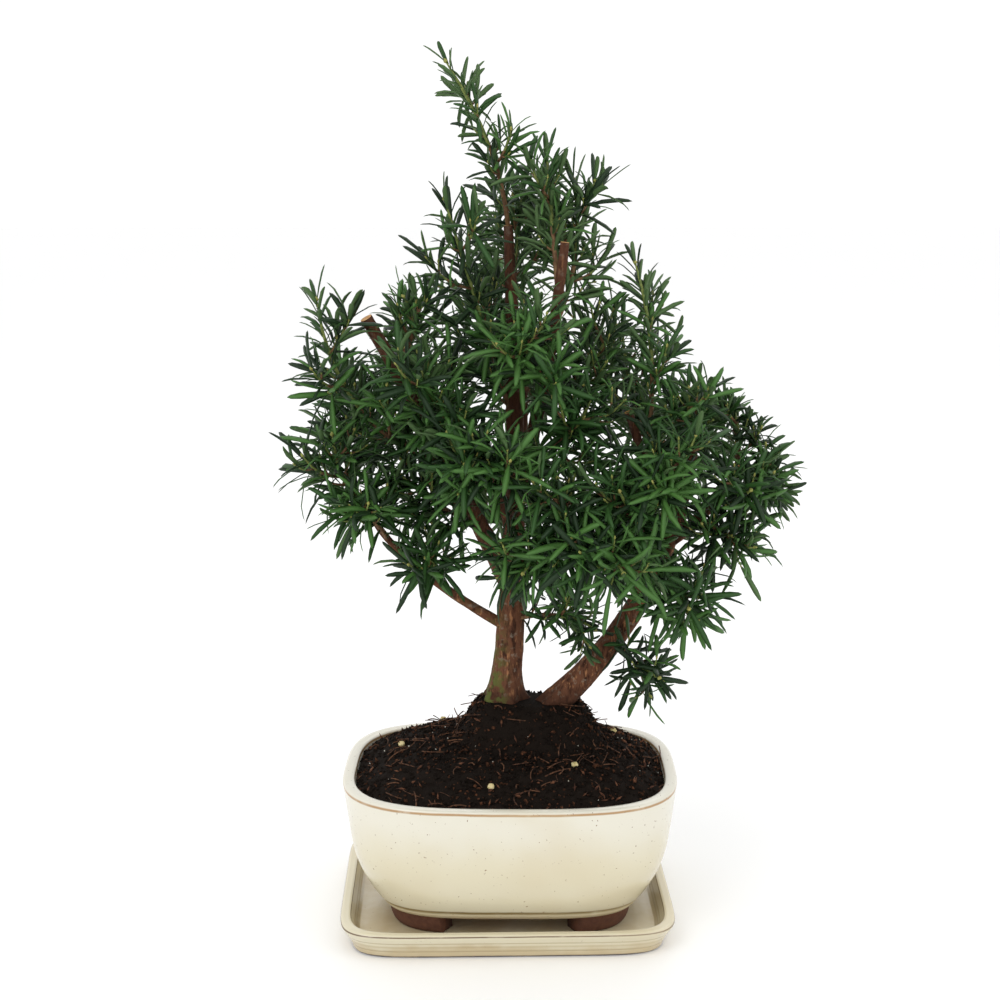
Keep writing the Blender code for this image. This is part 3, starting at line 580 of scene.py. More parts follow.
def glaze(name, cream, cool, warm, lines, top, speck_share):
    """Cream glaze: cooler near its top, warm and pooled dark along the given heights, with fine
    brown specks and a faint ripple."""
    r = Recipe(name)
    z = r.height()
    place = r.place()
    cloud = r.noise(place, 0.045, 3.0)
    color = r.blend(r.step(z + cloud * 14.0, top * 0.62, top * 1.02), cream, cool)
    for middle, width, shade, share in lines:
        wavy = z + (r.noise(place, 0.08, 2.0) - 0.5) * (width * 0.5)
        patch = r.step(r.noise(place, 0.10, 3.0), 0.05, 0.50)
        color = r.blend(r.band(wavy, middle, width) * patch * share, color, shade)
    speck = r.step(r.noise(place, 0.70, 2.0, 0.7), 0.69, 0.73) * speck_share
    color = r.blend(speck, color, (0.20, 0.11, 0.05))
    color = r.blend(r.step(r.noise(place, 0.02, 2.0), 0.45, 0.75) * 0.35, color, warm)
    rough = 0.17 + r.noise(place, 0.3, 3.0) * 0.12
    return r.finish(color, rough, r.noise(place, 0.10, 3.0), 0.35, 0.35, coat=0.35)


def clay():
    """Unglazed red clay, clouded from brown to rust, with a fine grit."""
    r = Recipe("foot_clay")
    place = r.place()
    color = r.blend(r.noise(place, 0.5, 5.0), (0.055, 0.020, 0.012), (0.17, 0.065, 0.035))
    return r.finish(color, 0.85, r.noise(place, 1.6, 4.0), 0.25, 0.7)


def peat(name, dark, red, share):
    """Near-black fibrous soil with reddish fibres."""
    r = Recipe(name)
    place = r.place()
    color = r.blend(r.step(r.noise(place, 0.55, 4.0), 0.66 - share, 0.74), dark, red)
    return r.finish(color, 0.95, r.noise(place, 1.1, 5.0, 0.7), 0.8, 0.9, shine=0.1)


def bark(dark, red, orange):
    """Scaly bark: long red-brown plates, orange where they have flaked, grey dust, dark at the foot
    and inside the crown, and green moss low on the shaded side."""
    r = Recipe("flaking_bark")
    long_place = r.place((1.0, 1.0, 0.28))
    place = r.place()
    plates = r.noise(long_place, 0.42, 5.0, 0.65)
    color = r.blend(r.step(plates, 0.34, 0.56), dark, red)
    color = r.blend(r.step(r.noise(long_place, 0.62, 4.0), 0.56, 0.70), color, orange)
    color = r.blend(r.step(r.noise(place, 0.30, 4.0), 0.56, 0.70) * 0.55, color, (0.30, 0.25, 0.19))
    x = r.node("ShaderNodeSeparateXYZ", None, {0: place}, 0)
    shaded = (1.0 - r.step(x, -6.0, 4.0)) * (1.0 - r.step(r.height(), *MOSS_Z))
    ragged = r.height() + r.noise(place, 0.2, 3.0) * 8.0
    color = r.blend((1.0 - r.step(ragged, *BARK_FOOT_Z)) * 0.85, color, dark)
    color = r.blend(r.step(r.height(), *SHADED_BARK_Z) * 0.6, color, dark)
    moss = r.step(r.noise(place, 0.26, 4.0), 0.44, 0.58) * shaded
    color = r.blend(moss * 0.8, color, (0.10, 0.13, 0.03))
    return r.finish(color, 0.82, r.noise(long_place, 0.9, 6.0, 0.7), 0.6, 0.8, shine=0.15)


def grained(name, stretch=(1.0, 1.0, 1.0), bump_mm=0.15):
    """A finish from the table: its two colours clouded over a surface, with a fine grain."""
    first, second, scale, roughness = GRAINS[name]
    r = Recipe(name)
    place = r.place(stretch)
    color = r.blend(r.step(r.noise(place, scale, 4.0), 0.35, 0.65), first, second)
    return r.finish(color, roughness, r.noise(place, scale * 2.5, 3.0), bump_mm, 0.5, shine=0.25)


def needle_green(name, shade, roughness=0.52):
    """One plain green for whole sprays, with an even waxy gloss."""
    r = Recipe(name)
    rough = roughness + (r.noise(r.place(), 0.4, 2.0) - 0.5) * 0.12
    return r.finish(shade, rough, shine=0.3)


# Settings


def shade_property(name, description, default):
    """A colour that the user can change."""
    return FloatVectorProperty(
        name=name, description=description, default=default, size=3, min=0.0, max=1.0, subtype="COLOR"
    )


class BONSAI_PG_pottery(bpy.types.PropertyGroup):
    cream: shade_property("Cream", "The glaze's main colour", (0.66, 0.605, 0.44))
    cool: shade_property("Cool cream", "The thicker glaze near the rim", (0.72, 0.69, 0.585))
    warm: shade_property("Warm cream", "Thin glaze over the body", (0.58, 0.49, 0.31))
    tray: shade_property("Saucer", "The saucer's tan glaze", (0.53, 0.435, 0.265))
    steps: IntProperty(name="Steps", description="Points round each ring", default=288, min=48, max=512)


class BONSAI_PG_soil(bpy.types.PropertyGroup):
    dark: shade_property("Peat", "Damp peat", (0.011, 0.0075, 0.0055))
    red: shade_property("Fibre", "Bark and root fibre in the peat", (0.075, 0.028, 0.012))
    crumbs: IntProperty(
        name="Crumbs", description="Loose crumbs on the soil", default=9000, min=0, max=20000
    )
    crumb_size: FloatProperty(
        name="Crumb size", description="A crumb's usual width", default=1.15 * MM, unit="LENGTH"
    )


class BONSAI_PG_plant(bpy.types.PropertyGroup):
    bark_dark: shade_property("Bark cracks", "Deep bark", (0.045, 0.018, 0.010))
    bark_red: shade_property("Bark", "Red-brown plates", (0.155, 0.064, 0.034))
    bark_orange: shade_property("New bark", "Freshly flaked bark", (0.36, 0.165, 0.075))
    # Painted shade and painted light: the darkest and lightest needle greens are real variety, but sprays
    # take the darkest more often towards the back and the lightest more often towards the lit front.
    shaded_deep: shade_property("Deep green", "Old needles", (0.008, 0.027, 0.006))
    middle: shade_property("Middle green", "Most needles", (0.021, 0.068, 0.012))
    lit_fresh: shade_property("Fresh green", "Needles near the front", (0.052, 0.138, 0.026))
    pale: shade_property("Underside", "The needles' grey-green undersides", (0.085, 0.155, 0.055))
    width: FloatProperty(
        name="Needle width", description="A long needle's widest part", default=2.55 * MM, unit="LENGTH"
    )
    thickness: FloatProperty(
        name="Thickness", description="A needle's rise at its midrib", default=0.36 * MM, unit="LENGTH"
    )
    spacing: FloatProperty(
        name="Spacing", description="Between needles along a shoot", default=1.5 * MM, unit="LENGTH"
    )


class BONSAI_PG_stage(bpy.types.PropertyGroup):
    floor: shade_property("Floor", "The plain floor", (0.94, 0.94, 0.94))
    key_power: FloatProperty(name="Key", description="The main soft light", default=5.0, unit="POWER")
    fill_power: FloatProperty(name="Fill", description="The soft light opposite", default=1.6, unit="POWER")


# Pottery


def oval(half_width, half_depth, power, height, angles):
    """Rings |x/a|^n + |y/b|^n = 1, one for each row of the sizes, at evenly turned directions."""
    c = np.cos(angles)[None, :]
    s = np.sin(angles)[None, :]
    a, b, n = (np.asarray(v)[:, None] for v in (half_width, half_depth, power))
    far = (np.abs(c / a) ** n + np.abs(s / b) ** n) ** (-1.0 / n)
    z = np.broadcast_to(np.asarray(height)[:, None], far.shape)
    return np.stack([far * c, far * s, z], axis=-1)


def pot_rings(heights, inward, angles):
    """The pot's outline at each height: a sloping side over a belly that curves in to the base."""
    heights = np.asarray(heights, dtype=float)
    inward = np.broadcast_to(inward, heights.shape)
    belly = np.maximum(0.0, 1.0 - (heights - POT_BASE_Z) / POT_BELLY_HEIGHT) ** POT_BELLY_POWER
    slope = POT_SIDE_SLOPE * np.maximum(0.0, POT_EDGE_Z - heights)
    base_slope = POT_SIDE_SLOPE * (POT_EDGE_Z - POT_BASE_Z)
    inset = slope + (POT_BASE_INSET - base_slope) * belly
    rise = np.clip((heights - POT_BASE_Z) / (POT_RIM_Z - POT_BASE_Z), 0.0, 1.0)
    power = POT_BASE_POWER + (POT_RIM_POWER - POT_BASE_POWER) * rise
    rings = oval(
        POT_WIDTH / 2.0 - inset - inward,
        POT_DEPTH / 2.0 - POT_BASE_DEPTH_SHARE * inset - inward,
        power, heights, angles,
    )
    return turned(rings)


def turned(points):
    """Turned and moved as the pot stands on its saucer."""
    c = math.cos(POT_TURN)
    s = math.sin(POT_TURN)
    x = points[..., 0] * c - points[..., 1] * s + POT_OFFSET[0]
    y = points[..., 0] * s + points[..., 1] * c + POT_OFFSET[1]
    return np.stack([x, y, points[..., 2]], axis=-1)


def pot_surface(steps):
    """The profile in one pass: base, groove, belly, half-round rim, and the inner wall to its floor."""
    outer = np.linspace(POT_BASE_Z, POT_EDGE_Z, 90)
    groove = 0.8 * MM * np.exp(-(((outer - POT_GROOVE_Z) / (0.7 * MM)) ** 2))
    foot_round = 1.0 * MM * np.exp(-(outer - POT_BASE_Z) / (0.6 * MM))
    turn = np.linspace(0.0, math.pi, 14)[1:-1]
    rim_in = POT_WALL / 2.0 * (1.0 - np.cos(turn))
    rim_z = POT_EDGE_Z + (POT_RIM_Z - POT_EDGE_Z) * np.sin(turn) ** 0.8
    inner = np.linspace(POT_EDGE_Z, POT_FLOOR_Z, 24)
    inner_in = POT_WALL + 1.5 * MM * (POT_EDGE_Z - inner) / (POT_EDGE_Z - POT_FLOOR_Z)
    heights = np.concatenate([outer, rim_z, inner])
    inward = np.concatenate([groove + foot_round, rim_in, inner_in])
    angles = np.linspace(0.0, 2.0 * math.pi, steps, endpoint=False)
    rings = pot_rings(heights, inward, angles)
    hand = lattice_noise(rings, 26.0 * MM, 5) - 0.5
    middle = np.array((*POT_OFFSET, 0.0))
    out = unit((rings - middle) * (1.0, 1.0, 0.0))
    return rings + out * hand[..., None] * 0.5 * MM


def foot_rings(quarter, rows=9, steps=26):
    """A corner foot: the base's corner outline at a small inset outside, and at the foot's width
    inside, drawn in and rounded towards the ground."""
    middle = math.radians(45.0 + 90.0 * quarter)
    phi = np.linspace(middle - FOOT_HALF_ANGLE, middle + FOOT_HALF_ANGLE, steps)
    half_width = POT_WIDTH / 2.0 - POT_BASE_INSET
    half_depth = POT_DEPTH / 2.0 - POT_BASE_DEPTH_SHARE * POT_BASE_INSET
    bend = 2.0 / POT_BASE_POWER
    c = np.cos(phi)
    s = np.sin(phi)
    rings = []
    for share in np.linspace(0.0, 1.0, rows):
        height = FOOT_FLOOR + (POT_BASE_Z + 1.5 * MM - FOOT_FLOOR) * share
        drawn = FOOT_SPLAY * (1.0 - share) + 0.8 * MM * math.exp(-share * 9.0)
        ring = []
        for inward in (FOOT_INSET + drawn, FOOT_WIDTH):
            x = (half_width - inward) * np.sign(c) * np.abs(c) ** bend
            y = (half_depth - inward) * np.sign(s) * np.abs(s) ** bend
            ring.append(np.stack([x, y, np.full_like(x, height)], axis=1))
        rings.append(np.concatenate([ring[0], ring[1][::-1]]))
    return turned(np.array(rings))


def joined(parts):
    """Many closed surfaces as one set of points, quads and triangles."""
    points, quads, triangles = [], [], []
    first = 0
    for part_points, part_quads, part_triangles in parts:
        points.append(part_points)
        quads.append(np.asarray(part_quads).reshape(-1, 4) + first)
        triangles.append(np.asarray(part_triangles).reshape(-1, 3) + first)
        first += len(part_points)
    return np.concatenate(points), np.concatenate(quads), np.concatenate(triangles)


class BONSAI_OT_pot(bpy.types.Operator):
    """Builds the glazed pot and its four clay feet"""

    bl_idname = "bonsai.pot"
    bl_label = "Pot"

    def execute(self, context):
        colors = context.scene.bonsai_pottery
        skin = glaze("pot_glaze", colors.cream, colors.cool, colors.warm, POT_LINES, 72.0, 0.9)
        pot = put_mesh("pot_body", *lathe(pot_surface(colors.steps)), [skin])
        dress(pot, "cream_glaze", "pot")
        feet = joined([lathe(foot_rings(quarter)) for quarter in range(4)])
        dress(put_mesh("pot_feet", *feet, [clay()]), "cream_glaze", "pot")
        return {"FINISHED"}


class BONSAI_OT_saucer(bpy.types.Operator):
    """Builds the saucer with its stepped wall and sunk floor"""

    bl_idname = "bonsai.saucer"
    bl_label = "Saucer"

    def execute(self, context):
        colors = context.scene.bonsai_pottery
        along = np.linspace(0.0, len(SAUCER_STEPS) - 1.0, 110)
        known = np.arange(len(SAUCER_STEPS))
        height = np.interp(along, known, SAUCER_STEPS[:, 0]) * MM
        inset = np.interp(along, known, SAUCER_STEPS[:, 1]) * MM
        angles = np.linspace(0.0, 2.0 * math.pi, colors.steps * 2, endpoint=False)
        rings = oval(
            SAUCER_WIDTH / 2.0 - inset, SAUCER_DEPTH / 2.0 - inset,
            np.full_like(height, SAUCER_POWER), height, angles,
        )
        skin = glaze("tray_glaze", colors.tray, colors.cream, colors.warm, SAUCER_LINES, 16.0, 0.35)
        dress(put_mesh("saucer_tray", *lathe(rings), [skin]), "saucer_glaze", "saucer")
        return {"FINISHED"}


# Soil


def soil_point(share, turn):
    """The soil's surface: from the pot's edge at share 0 to the mound's flat top at share 1."""
    rings = pot_rings(np.array([SOIL_EDGE_Z]), POT_WALL + 0.3 * MM, turn)[0]
    edge = rings.copy()
    edge[:, 2] += SOIL_TILT * edge[:, 1]
    feet = np.array([STEM_FEET["trunk_main"], STEM_FEET["trunk_right"]]) * MM
    out = np.stack([np.cos(turn), np.sin(turn)], axis=1)
    between = np.clip(0.5 + out @ unit(feet[1] - feet[0]) / MOUND_TURN, 0.0, 1.0)[:, None]
    flat = feet[0] + (feet[1] - feet[0]) * between + out * (
        MOUND_RADII[0] + (MOUND_RADII[1] - MOUND_RADII[0]) * between
    )
    top = np.column_stack([flat, np.full(len(turn), MOUND_TOP_Z)])
    share = np.asarray(share)[:, None]
    point = edge + (top - edge) * share
    off_mound = np.linalg.norm((point - top)[:, :2], axis=1) / MOUND_FOOT
    near = np.clip(1.0 - off_mound, 0.0, 1.0)
    rise = near * near * (3.0 - 2.0 * near)
    dome = edge[:, 2] + SOIL_DOME * (1.0 - (1.0 - share[:, 0]) ** 2)
    point[:, 2] = dome + (MOUND_TOP_Z - dome) * rise
    return point


def soil_rings(steps):
    """The root ball's rings: three down the pot's inner wall, then the surface from the edge to the
    mound's top, roughened by noise."""
    turn = np.linspace(0.0, 2.0 * math.pi, steps, endpoint=False)
    wall = ((POT_FLOOR_Z + 0.3 * MM, 1.9 * MM), (42.0 * MM, 1.3 * MM), (64.0 * MM, 0.4 * MM))
    rings = [pot_rings(np.array([height]), POT_WALL + inward, turn)[0] for height, inward in wall]
    rings += [soil_point(np.full(steps, share), turn) for share in np.linspace(0.0, 1.0, 70)]
    rings = np.array(rings)
    rough = (lattice_noise(rings, 4.0 * MM, 11) + 0.6 * lattice_noise(rings, 1.6 * MM, 12) - 0.8) * 1.6 * MM
    rough[:4] = 0.0
    rough[-1] *= 0.3
    rings[..., 2] += rough
    return rings


def scattered(count, chance, nearest=0.0, furthest=0.985):
    """Places on the soil, even over its area: a share drawn by its square root, and any turn."""
    share = 1.0 - np.sqrt(chance.uniform((1.0 - furthest) ** 2, (1.0 - nearest) ** 2, count))
    return soil_point(share, chance.uniform(0.0, 2.0 * math.pi, count))


def on_mound(count, chance):
    """Places on the mound's sides and top, at any turn and evenly along its slope."""
    return soil_point(chance.uniform(0.50, 0.995, count), chance.uniform(0.0, 2.0 * math.pi, count))


def random_axes(count, chance):
    """A right-handed set of three unit vectors for each of the count, turned at random."""
    first = unit(chance.normal(size=(count, 3)))
    second = unit(np.cross(first, chance.normal(size=(count, 3))))
    return np.stack([first, second, np.cross(first, second)], axis=1)


def crumbs(places, sizes, chance):
    """Angular crumbs: eight-faced solids, each corner pushed in or out by its own share."""
    count = len(places)
    corners = np.array(((1, 0, 0), (0, 1, 0), (-1, 0, 0), (0, -1, 0), (0, 0, 1), (0, 0, -1)), dtype=float)
    shape = corners[None] * chance.uniform(0.6, 1.25, (count, 6, 1)) + chance.normal(0, 0.12, (count, 6, 3))
    shape = shape * sizes[:, None, :] / 2.0
    points = np.einsum("nij,njk->nik", shape, random_axes(count, chance)) + places[:, None, :]
    faces = []
    for i in range(4):
        j = (i + 1) % 4
        faces += [(i, j, 4), (j, i, 5)]
    triangles = np.array(faces)[None] + (np.arange(count) * 6)[:, None, None]
    return points.reshape(-1, 3), np.empty((0, 4), int), triangles.reshape(-1, 3)


def tube(points, radii, sides=5):
    """A closed tube along a line of points, each ring square to the way between its neighbours."""
    ways = unit(np.gradient(points, axis=0))
    axis = np.eye(3)[int(np.argmin(np.abs(unit(points[-1] - points[0]))))]
    turns = np.linspace(0.0, 2.0 * math.pi, sides, endpoint=False)
    rings = []
    for place, way, radius in zip(points, ways, np.broadcast_to(radii, len(points))):
        rings.append(place + sideways(np.repeat(way[None], sides, 0), axis, turns) * radius)
    return lathe(np.array(rings))


def rootlets(count, chance):
    """Fibres that lie over the mound and the soil in loose bends."""
    parts = []
    for _ in range(count):
        spread = on_mound if chance.random() < ROOTLET_ON_MOUND else scattered
        start = spread(1, chance)[0]
        way = unit(chance.normal(size=3) * (1.0, 1.0, 0.25))
        side = unit(np.cross(way, UP))
        t = np.linspace(-0.5, 0.5, 7)[:, None]
        length = chance.uniform(5.0, 16.0) * MM
        points = start + way * t * length + side * (t * t - 0.1) * length * chance.uniform(-0.9, 0.9)
        points = points + UP * (0.9 * MM - 5.0 * MM * t * t * chance.uniform(0.2, 1.0))
        parts.append(tube(points, chance.uniform(0.12, 0.34) * MM))
    return joined(parts)


def ball(place, radius, seed, steps=20):
    """A rough ball: rings of a sphere, pushed in and out by noise."""
    rise = np.linspace(-0.98, 0.98, 13)[:, None]
    turn = np.linspace(0.0, 2.0 * math.pi, steps, endpoint=False)[None, :]
    flat = np.sqrt(1.0 - rise * rise)
    out = np.stack([flat * np.cos(turn), flat * np.sin(turn), np.broadcast_to(rise, (13, steps))], axis=-1)
    bumps = 0.86 + 0.28 * lattice_noise(out * 5.0 * MM, 2.2 * MM, seed)
    return lathe(place + out * radius * bumps[..., None] * (1.0, 1.0, 0.85))


def lay_crumbs(name, finish, places, sizes, chance):
    """Puts crumbs of the given sizes on the soil as one piece."""
    heap = crumbs(places, sizes, chance)
    dress(put_mesh(name, *heap, [finish], smooth=False), "peat", "soil")


class BONSAI_OT_soil(bpy.types.Operator):
    """Builds the root ball, its crumbs, bark chips, root fibres, feed balls and pale grit"""

    bl_idname = "bonsai.soil"
    bl_label = "Soil"

    def execute(self, context):
        set_ = context.scene.bonsai_soil
        chance = np.random.default_rng(SOIL_SEED)
        dark = peat("damp_peat", set_.dark, set_.red, 0.0)
        fibre = peat("fibrous_peat", (0.05, 0.022, 0.012), (0.15, 0.06, 0.03), 0.2)
        dress(put_mesh("root_ball", *lathe(soil_rings(240)), [dark]), "peat", "soil")
        count = set_.crumbs
        places = scattered(count, chance)
        places[: count // 3] = on_mound(count // 3, chance)
        places += UP * 0.25 * MM
        size = set_.crumb_size * chance.lognormal(0.0, 0.42, (count, 1))
        sizes = np.clip(size, 0.4 * MM, 3.0 * MM) * chance.uniform(0.6, 1.3, (count, 3))
        heap = crumbs(places, sizes, chance)
        slots = np.repeat((chance.random(count) > FIBRE_CRUMB_SHARE).astype(int), 8)
        piece = put_mesh("peat_crumbs", *heap, [dark, fibre], 0, slots, smooth=False)
        dress(piece, "peat", "soil")
        places = scattered(CHIP_COUNT, chance) + UP * 0.7 * MM
        sizes = chance.uniform(0.8, 1.4, (CHIP_COUNT, 3)) * CHIP_SIZE
        lay_crumbs("bark_chips", grained("bark_chip"), places, sizes, chance)
        fibres = rootlets(ROOTLET_COUNT, chance)
        dress(put_mesh("root_fibres", *fibres, [grained("root_fibre")]), "peat", "soil")
        balls = []
        for number, (x, y) in enumerate(np.array(FEED_SPOTS) * MM):
            balls.append(ball(on_soil(x, y) + UP * 0.9 * MM, FEED_RADIUS, FEED_SEED + number))
        dress(put_mesh("feed_balls", *joined(balls), [grained("feed", bump_mm=0.4)]), "peat", "soil")
        places = scattered(GRIT_COUNT, chance, 0.0, 0.95) + UP * 0.9 * MM
        sizes = chance.uniform(*GRIT_SIZE, (GRIT_COUNT, 3)) * MM
        lay_crumbs("pale_grit", grained("pale_grit"), places, sizes, chance)
        return {"FINISHED"}


def on_soil(x, y):
    """The soil's point under a level place, found as the nearest of a fine grid of its points."""
    share, turn = np.meshgrid(np.linspace(0.0, 1.0, 80), np.linspace(0.0, 2.0 * math.pi, 240))
    points = soil_point(share.ravel(), turn.ravel())
    return points[np.argmin((points[:, 0] - x) ** 2 + (points[:, 1] - y) ** 2)]


# Bark


def limb_rings(name, curve, rows, steps):
    """The limb's own taper and flare round its curve, with bark plates raised by stretched noise."""
    shares = np.linspace(0.0, 1.0, rows)
    middles = on_arc(curve, shares)
    ways = heading(curve, shares)
    axis = reference_axis(curve)
    turns = np.linspace(0.0, 2.0 * math.pi, steps, endpoint=False)
    rings = np.empty((rows, steps, 3))
    for row, share in enumerate(shares):
        radius = limb_radius(name, curve, share, turns)
        out = sideways(np.repeat(ways[row][None], steps, 0), axis, turns)
        around = np.stack([np.cos(turns), np.sin(turns), np.zeros(steps)], axis=1)
        skin = around * float(np.mean(radius)) + UP * share * arc_length(curve)
        plates = lattice_noise(skin, PLATE_CELL, BARK_SEED)
        edge = np.clip((plates - 0.46) / 0.10, 0.0, 1.0)
        scales = lattice_noise(skin, SCALE_CELL, BARK_SEED + 1)
        knobs = lattice_noise(skin, KNOB_CELL, BARK_SEED + 2) - 0.5
        relief = PLATE_RISE * edge + SCALE_RISE * (scales - 0.5) + KNOB_RISE * knobs
        rings[row] = middles[row] + out * (radius * (1.0 + relief))[:, None]
        if LIMBS[name][0] is None and share == 0.0:
            rings[row] += ways[row] * ((middles[row][2] - rings[row][:, 2:3]) / ways[row][2])
    return rings


class BONSAI_OT_limbs(bpy.types.Operator):
    """Builds the two stems and the boughs with their bark and cut ends"""

    bl_idname = "bonsai.limbs"
    bl_label = "Stems and boughs"

    def execute(self, context):
        set_ = context.scene.bonsai_plant
        skin = bark(set_.bark_dark, set_.bark_red, set_.bark_orange)
        cut = grained("cut_wood")
        curves = limb_curves()
        stems = [name for name in LIMBS if LIMBS[name][0] is None]
        boughs = [name for name in LIMBS if LIMBS[name][0] is not None]
        for piece, names, rows, steps in (("stems_bark", stems, 260, 80), ("boughs_bark", boughs, 110, 40)):
            parts = []
            slots = []
            for name in names:
                parts.append(lathe(limb_rings(name, curves[name], rows, steps)))
                slots.append(np.repeat((0, 1), steps))
            points, quads, triangles = joined(parts)
            made = put_mesh(piece, points, quads, triangles, [skin, cut], 0, np.concatenate(slots))
            made.data.set_sharp_from_angle(angle=math.radians(60.0))
            dress(made, "bark", *names)
        return {"FINISHED"}


# Foliage


def shoot_needles(curve, bare, length, spread, spacing, chance):
    """Roots, ways and sizes of the needles along a shoot: a golden turn apart, spread from nearly
    square at its foot to the mass's angle at its tip, where the last ones close in."""
    whole = arc_length(curve)
    count = max(NEEDLE_FEWEST, int((whole - bare * whole) / spacing))
    share = np.linspace(bare, NEEDLE_LAST, count)
    way = heading(curve, share)
    turn = chance.uniform(0.0, 2.0 * math.pi) + np.arange(count) * GOLDEN_TURN
    out = sideways(way, reference_axis(curve), turn + chance.normal(0.0, NEEDLE_TURN_SPREAD, count))
    lean = NEEDLE_BASE_LEAN + (math.radians(spread) - NEEDLE_BASE_LEAN) * share
    lean = lean + chance.normal(0.0, NEEDLE_LEAN_SPREAD, count)
    lean = lean * np.where(share > CLOSED_FROM, chance.uniform(*CLOSED_LEAN, count), 1.0)
    along = way * np.cos(lean)[:, None] + out * np.sin(lean)[:, None]
    reach = length * (1.0 - (1.0 - NEEDLE_SHORT_END) * share) * chance.uniform(*NEEDLE_REACH, count)
    return on_arc(curve, share), way, unit(along), reach


def needle_meshes(root, way, along, reach, width, thickness, chance):
    """Each needle is a closed blade: four belts of four points (edge, midrib, edge, underside) between
    a root and a blunt tip, bent forwards along its shoot and drooping by the square of its length."""
    count = len(root)
    arch = chance.uniform(*NEEDLE_ARCH, count)[:, None] * reach[:, None]
    droop = chance.uniform(*NEEDLE_DROOP, count)[:, None] * reach[:, None]
    edge = unit(np.cross(way, along))
    rib = np.cross(along, edge)
    twist = chance.normal(0.0, NEEDLE_TWIST, count)[:, None]
    across = edge * np.cos(twist) + rib * np.sin(twist)
    over = rib * np.cos(twist) - edge * np.sin(twist)

    def spine(t):
        """Straight along the needle, plus the forward bend 3.2 t (1-t), less the droop t^2."""
        bend = way * arch * 2.0 * t * (1.0 - t) * 1.6
        return root + along * reach[:, None] * t + bend - UP * droop * t * t

    points = np.empty((count, NEEDLE_POINTS, 3))
    points[:, 0] = spine(0.0)
    widths = width * chance.uniform(*NEEDLE_WIDTH_SPREAD, count)[:, None]
    for belt, (t, share) in enumerate(zip(NEEDLE_STATIONS, NEEDLE_WIDTHS)):
        middle = spine(t)
        half = widths * share / 2.0
        first = 1 + belt * 4
        points[:, first] = middle + across * half
        points[:, first + 1] = middle + over * thickness * (0.4 + 0.6 * share)
        points[:, first + 2] = middle - across * half
        points[:, first + 3] = middle - over * thickness * 0.35
    points[:, NEEDLE_POINTS - 1] = spine(1.0)
    quads = []
    triangles = []
    for i in range(4):
        j = (i + 1) % 4
        triangles += [(0, 1 + j, 1 + i), (NEEDLE_POINTS - 1, 13 + i, 13 + j)]
        quads += [(a + i, a + j, a + 4 + j, a + 4 + i) for a in (1, 5, 9)]
    offset = (np.arange(count) * NEEDLE_POINTS)[:, None, None]
    quads = (np.array(quads)[None] + offset).reshape(-1, 4)
    triangles = (np.array(triangles)[None] + offset).reshape(-1, 3)
    return points.reshape(-1, 3), quads, triangles


def shoot_wood(curve, radius):
    """A shoot's tapering tube, brown at its foot and green above, then the bud at its tip. Each has
    the finish of every face round it."""
    share = np.linspace(0.0, 1.0, SHOOT_RINGS)
    radii = radius * (1.0 - SHOOT_TAPER * share)
    radii[-1] *= SHOOT_END
    stem = tube(on_arc(curve, share), radii, SHOOT_SIDES)
    green = np.repeat(share[:-1], SHOOT_SIDES) >= BROWN_SHARE
    line = on_arc(curve, 1.0)[0] + heading(curve, 1.0)[0] * np.linspace(*BUD_LINE, 4)[:, None] * MM
    bud = tube(line, np.array(BUD_SWELL) * radius * BUD_RADIUS, SHOOT_SIDES)
    return (stem, green.astype(int)), (bud, np.full(len(bud[1]), 2))


def clear_of_limbs(points, curves):
    """Whether each point lies outside every limb, measured from points along its axis."""
    free = np.ones(len(points), dtype=bool)
    shares = np.linspace(0.0, 1.0, 60)
    for name, curve in curves.items():
        apart = np.linalg.norm(points[:, None, :] - on_arc(curve, shares)[None], axis=2)
        radii = np.array([float(np.mean(limb_radius(name, curve, share))) for share in shares])
        free &= (apart > radii[None] + LIMB_CLEARANCE).all(axis=1)
    return free


def mass_groups():
    """The masses in five groups by where they stand, so that each joined piece stays small."""
    groups = {"left": [], "middle": [], "front": [], "right": [], "back": []}
    for name, row in MASSES.items():
        if name.startswith(("back", "top_back")):
            groups["back"].append(name)
        elif "front" in name or name.startswith("heart"):
            groups["front"].append(name)
        elif name.startswith(("left", "low_left")):
            groups["left"].append(name)
        elif row[2][0] > 55.0:
            groups["right"].append(name)
        else:
            groups["middle"].append(name)
    return groups


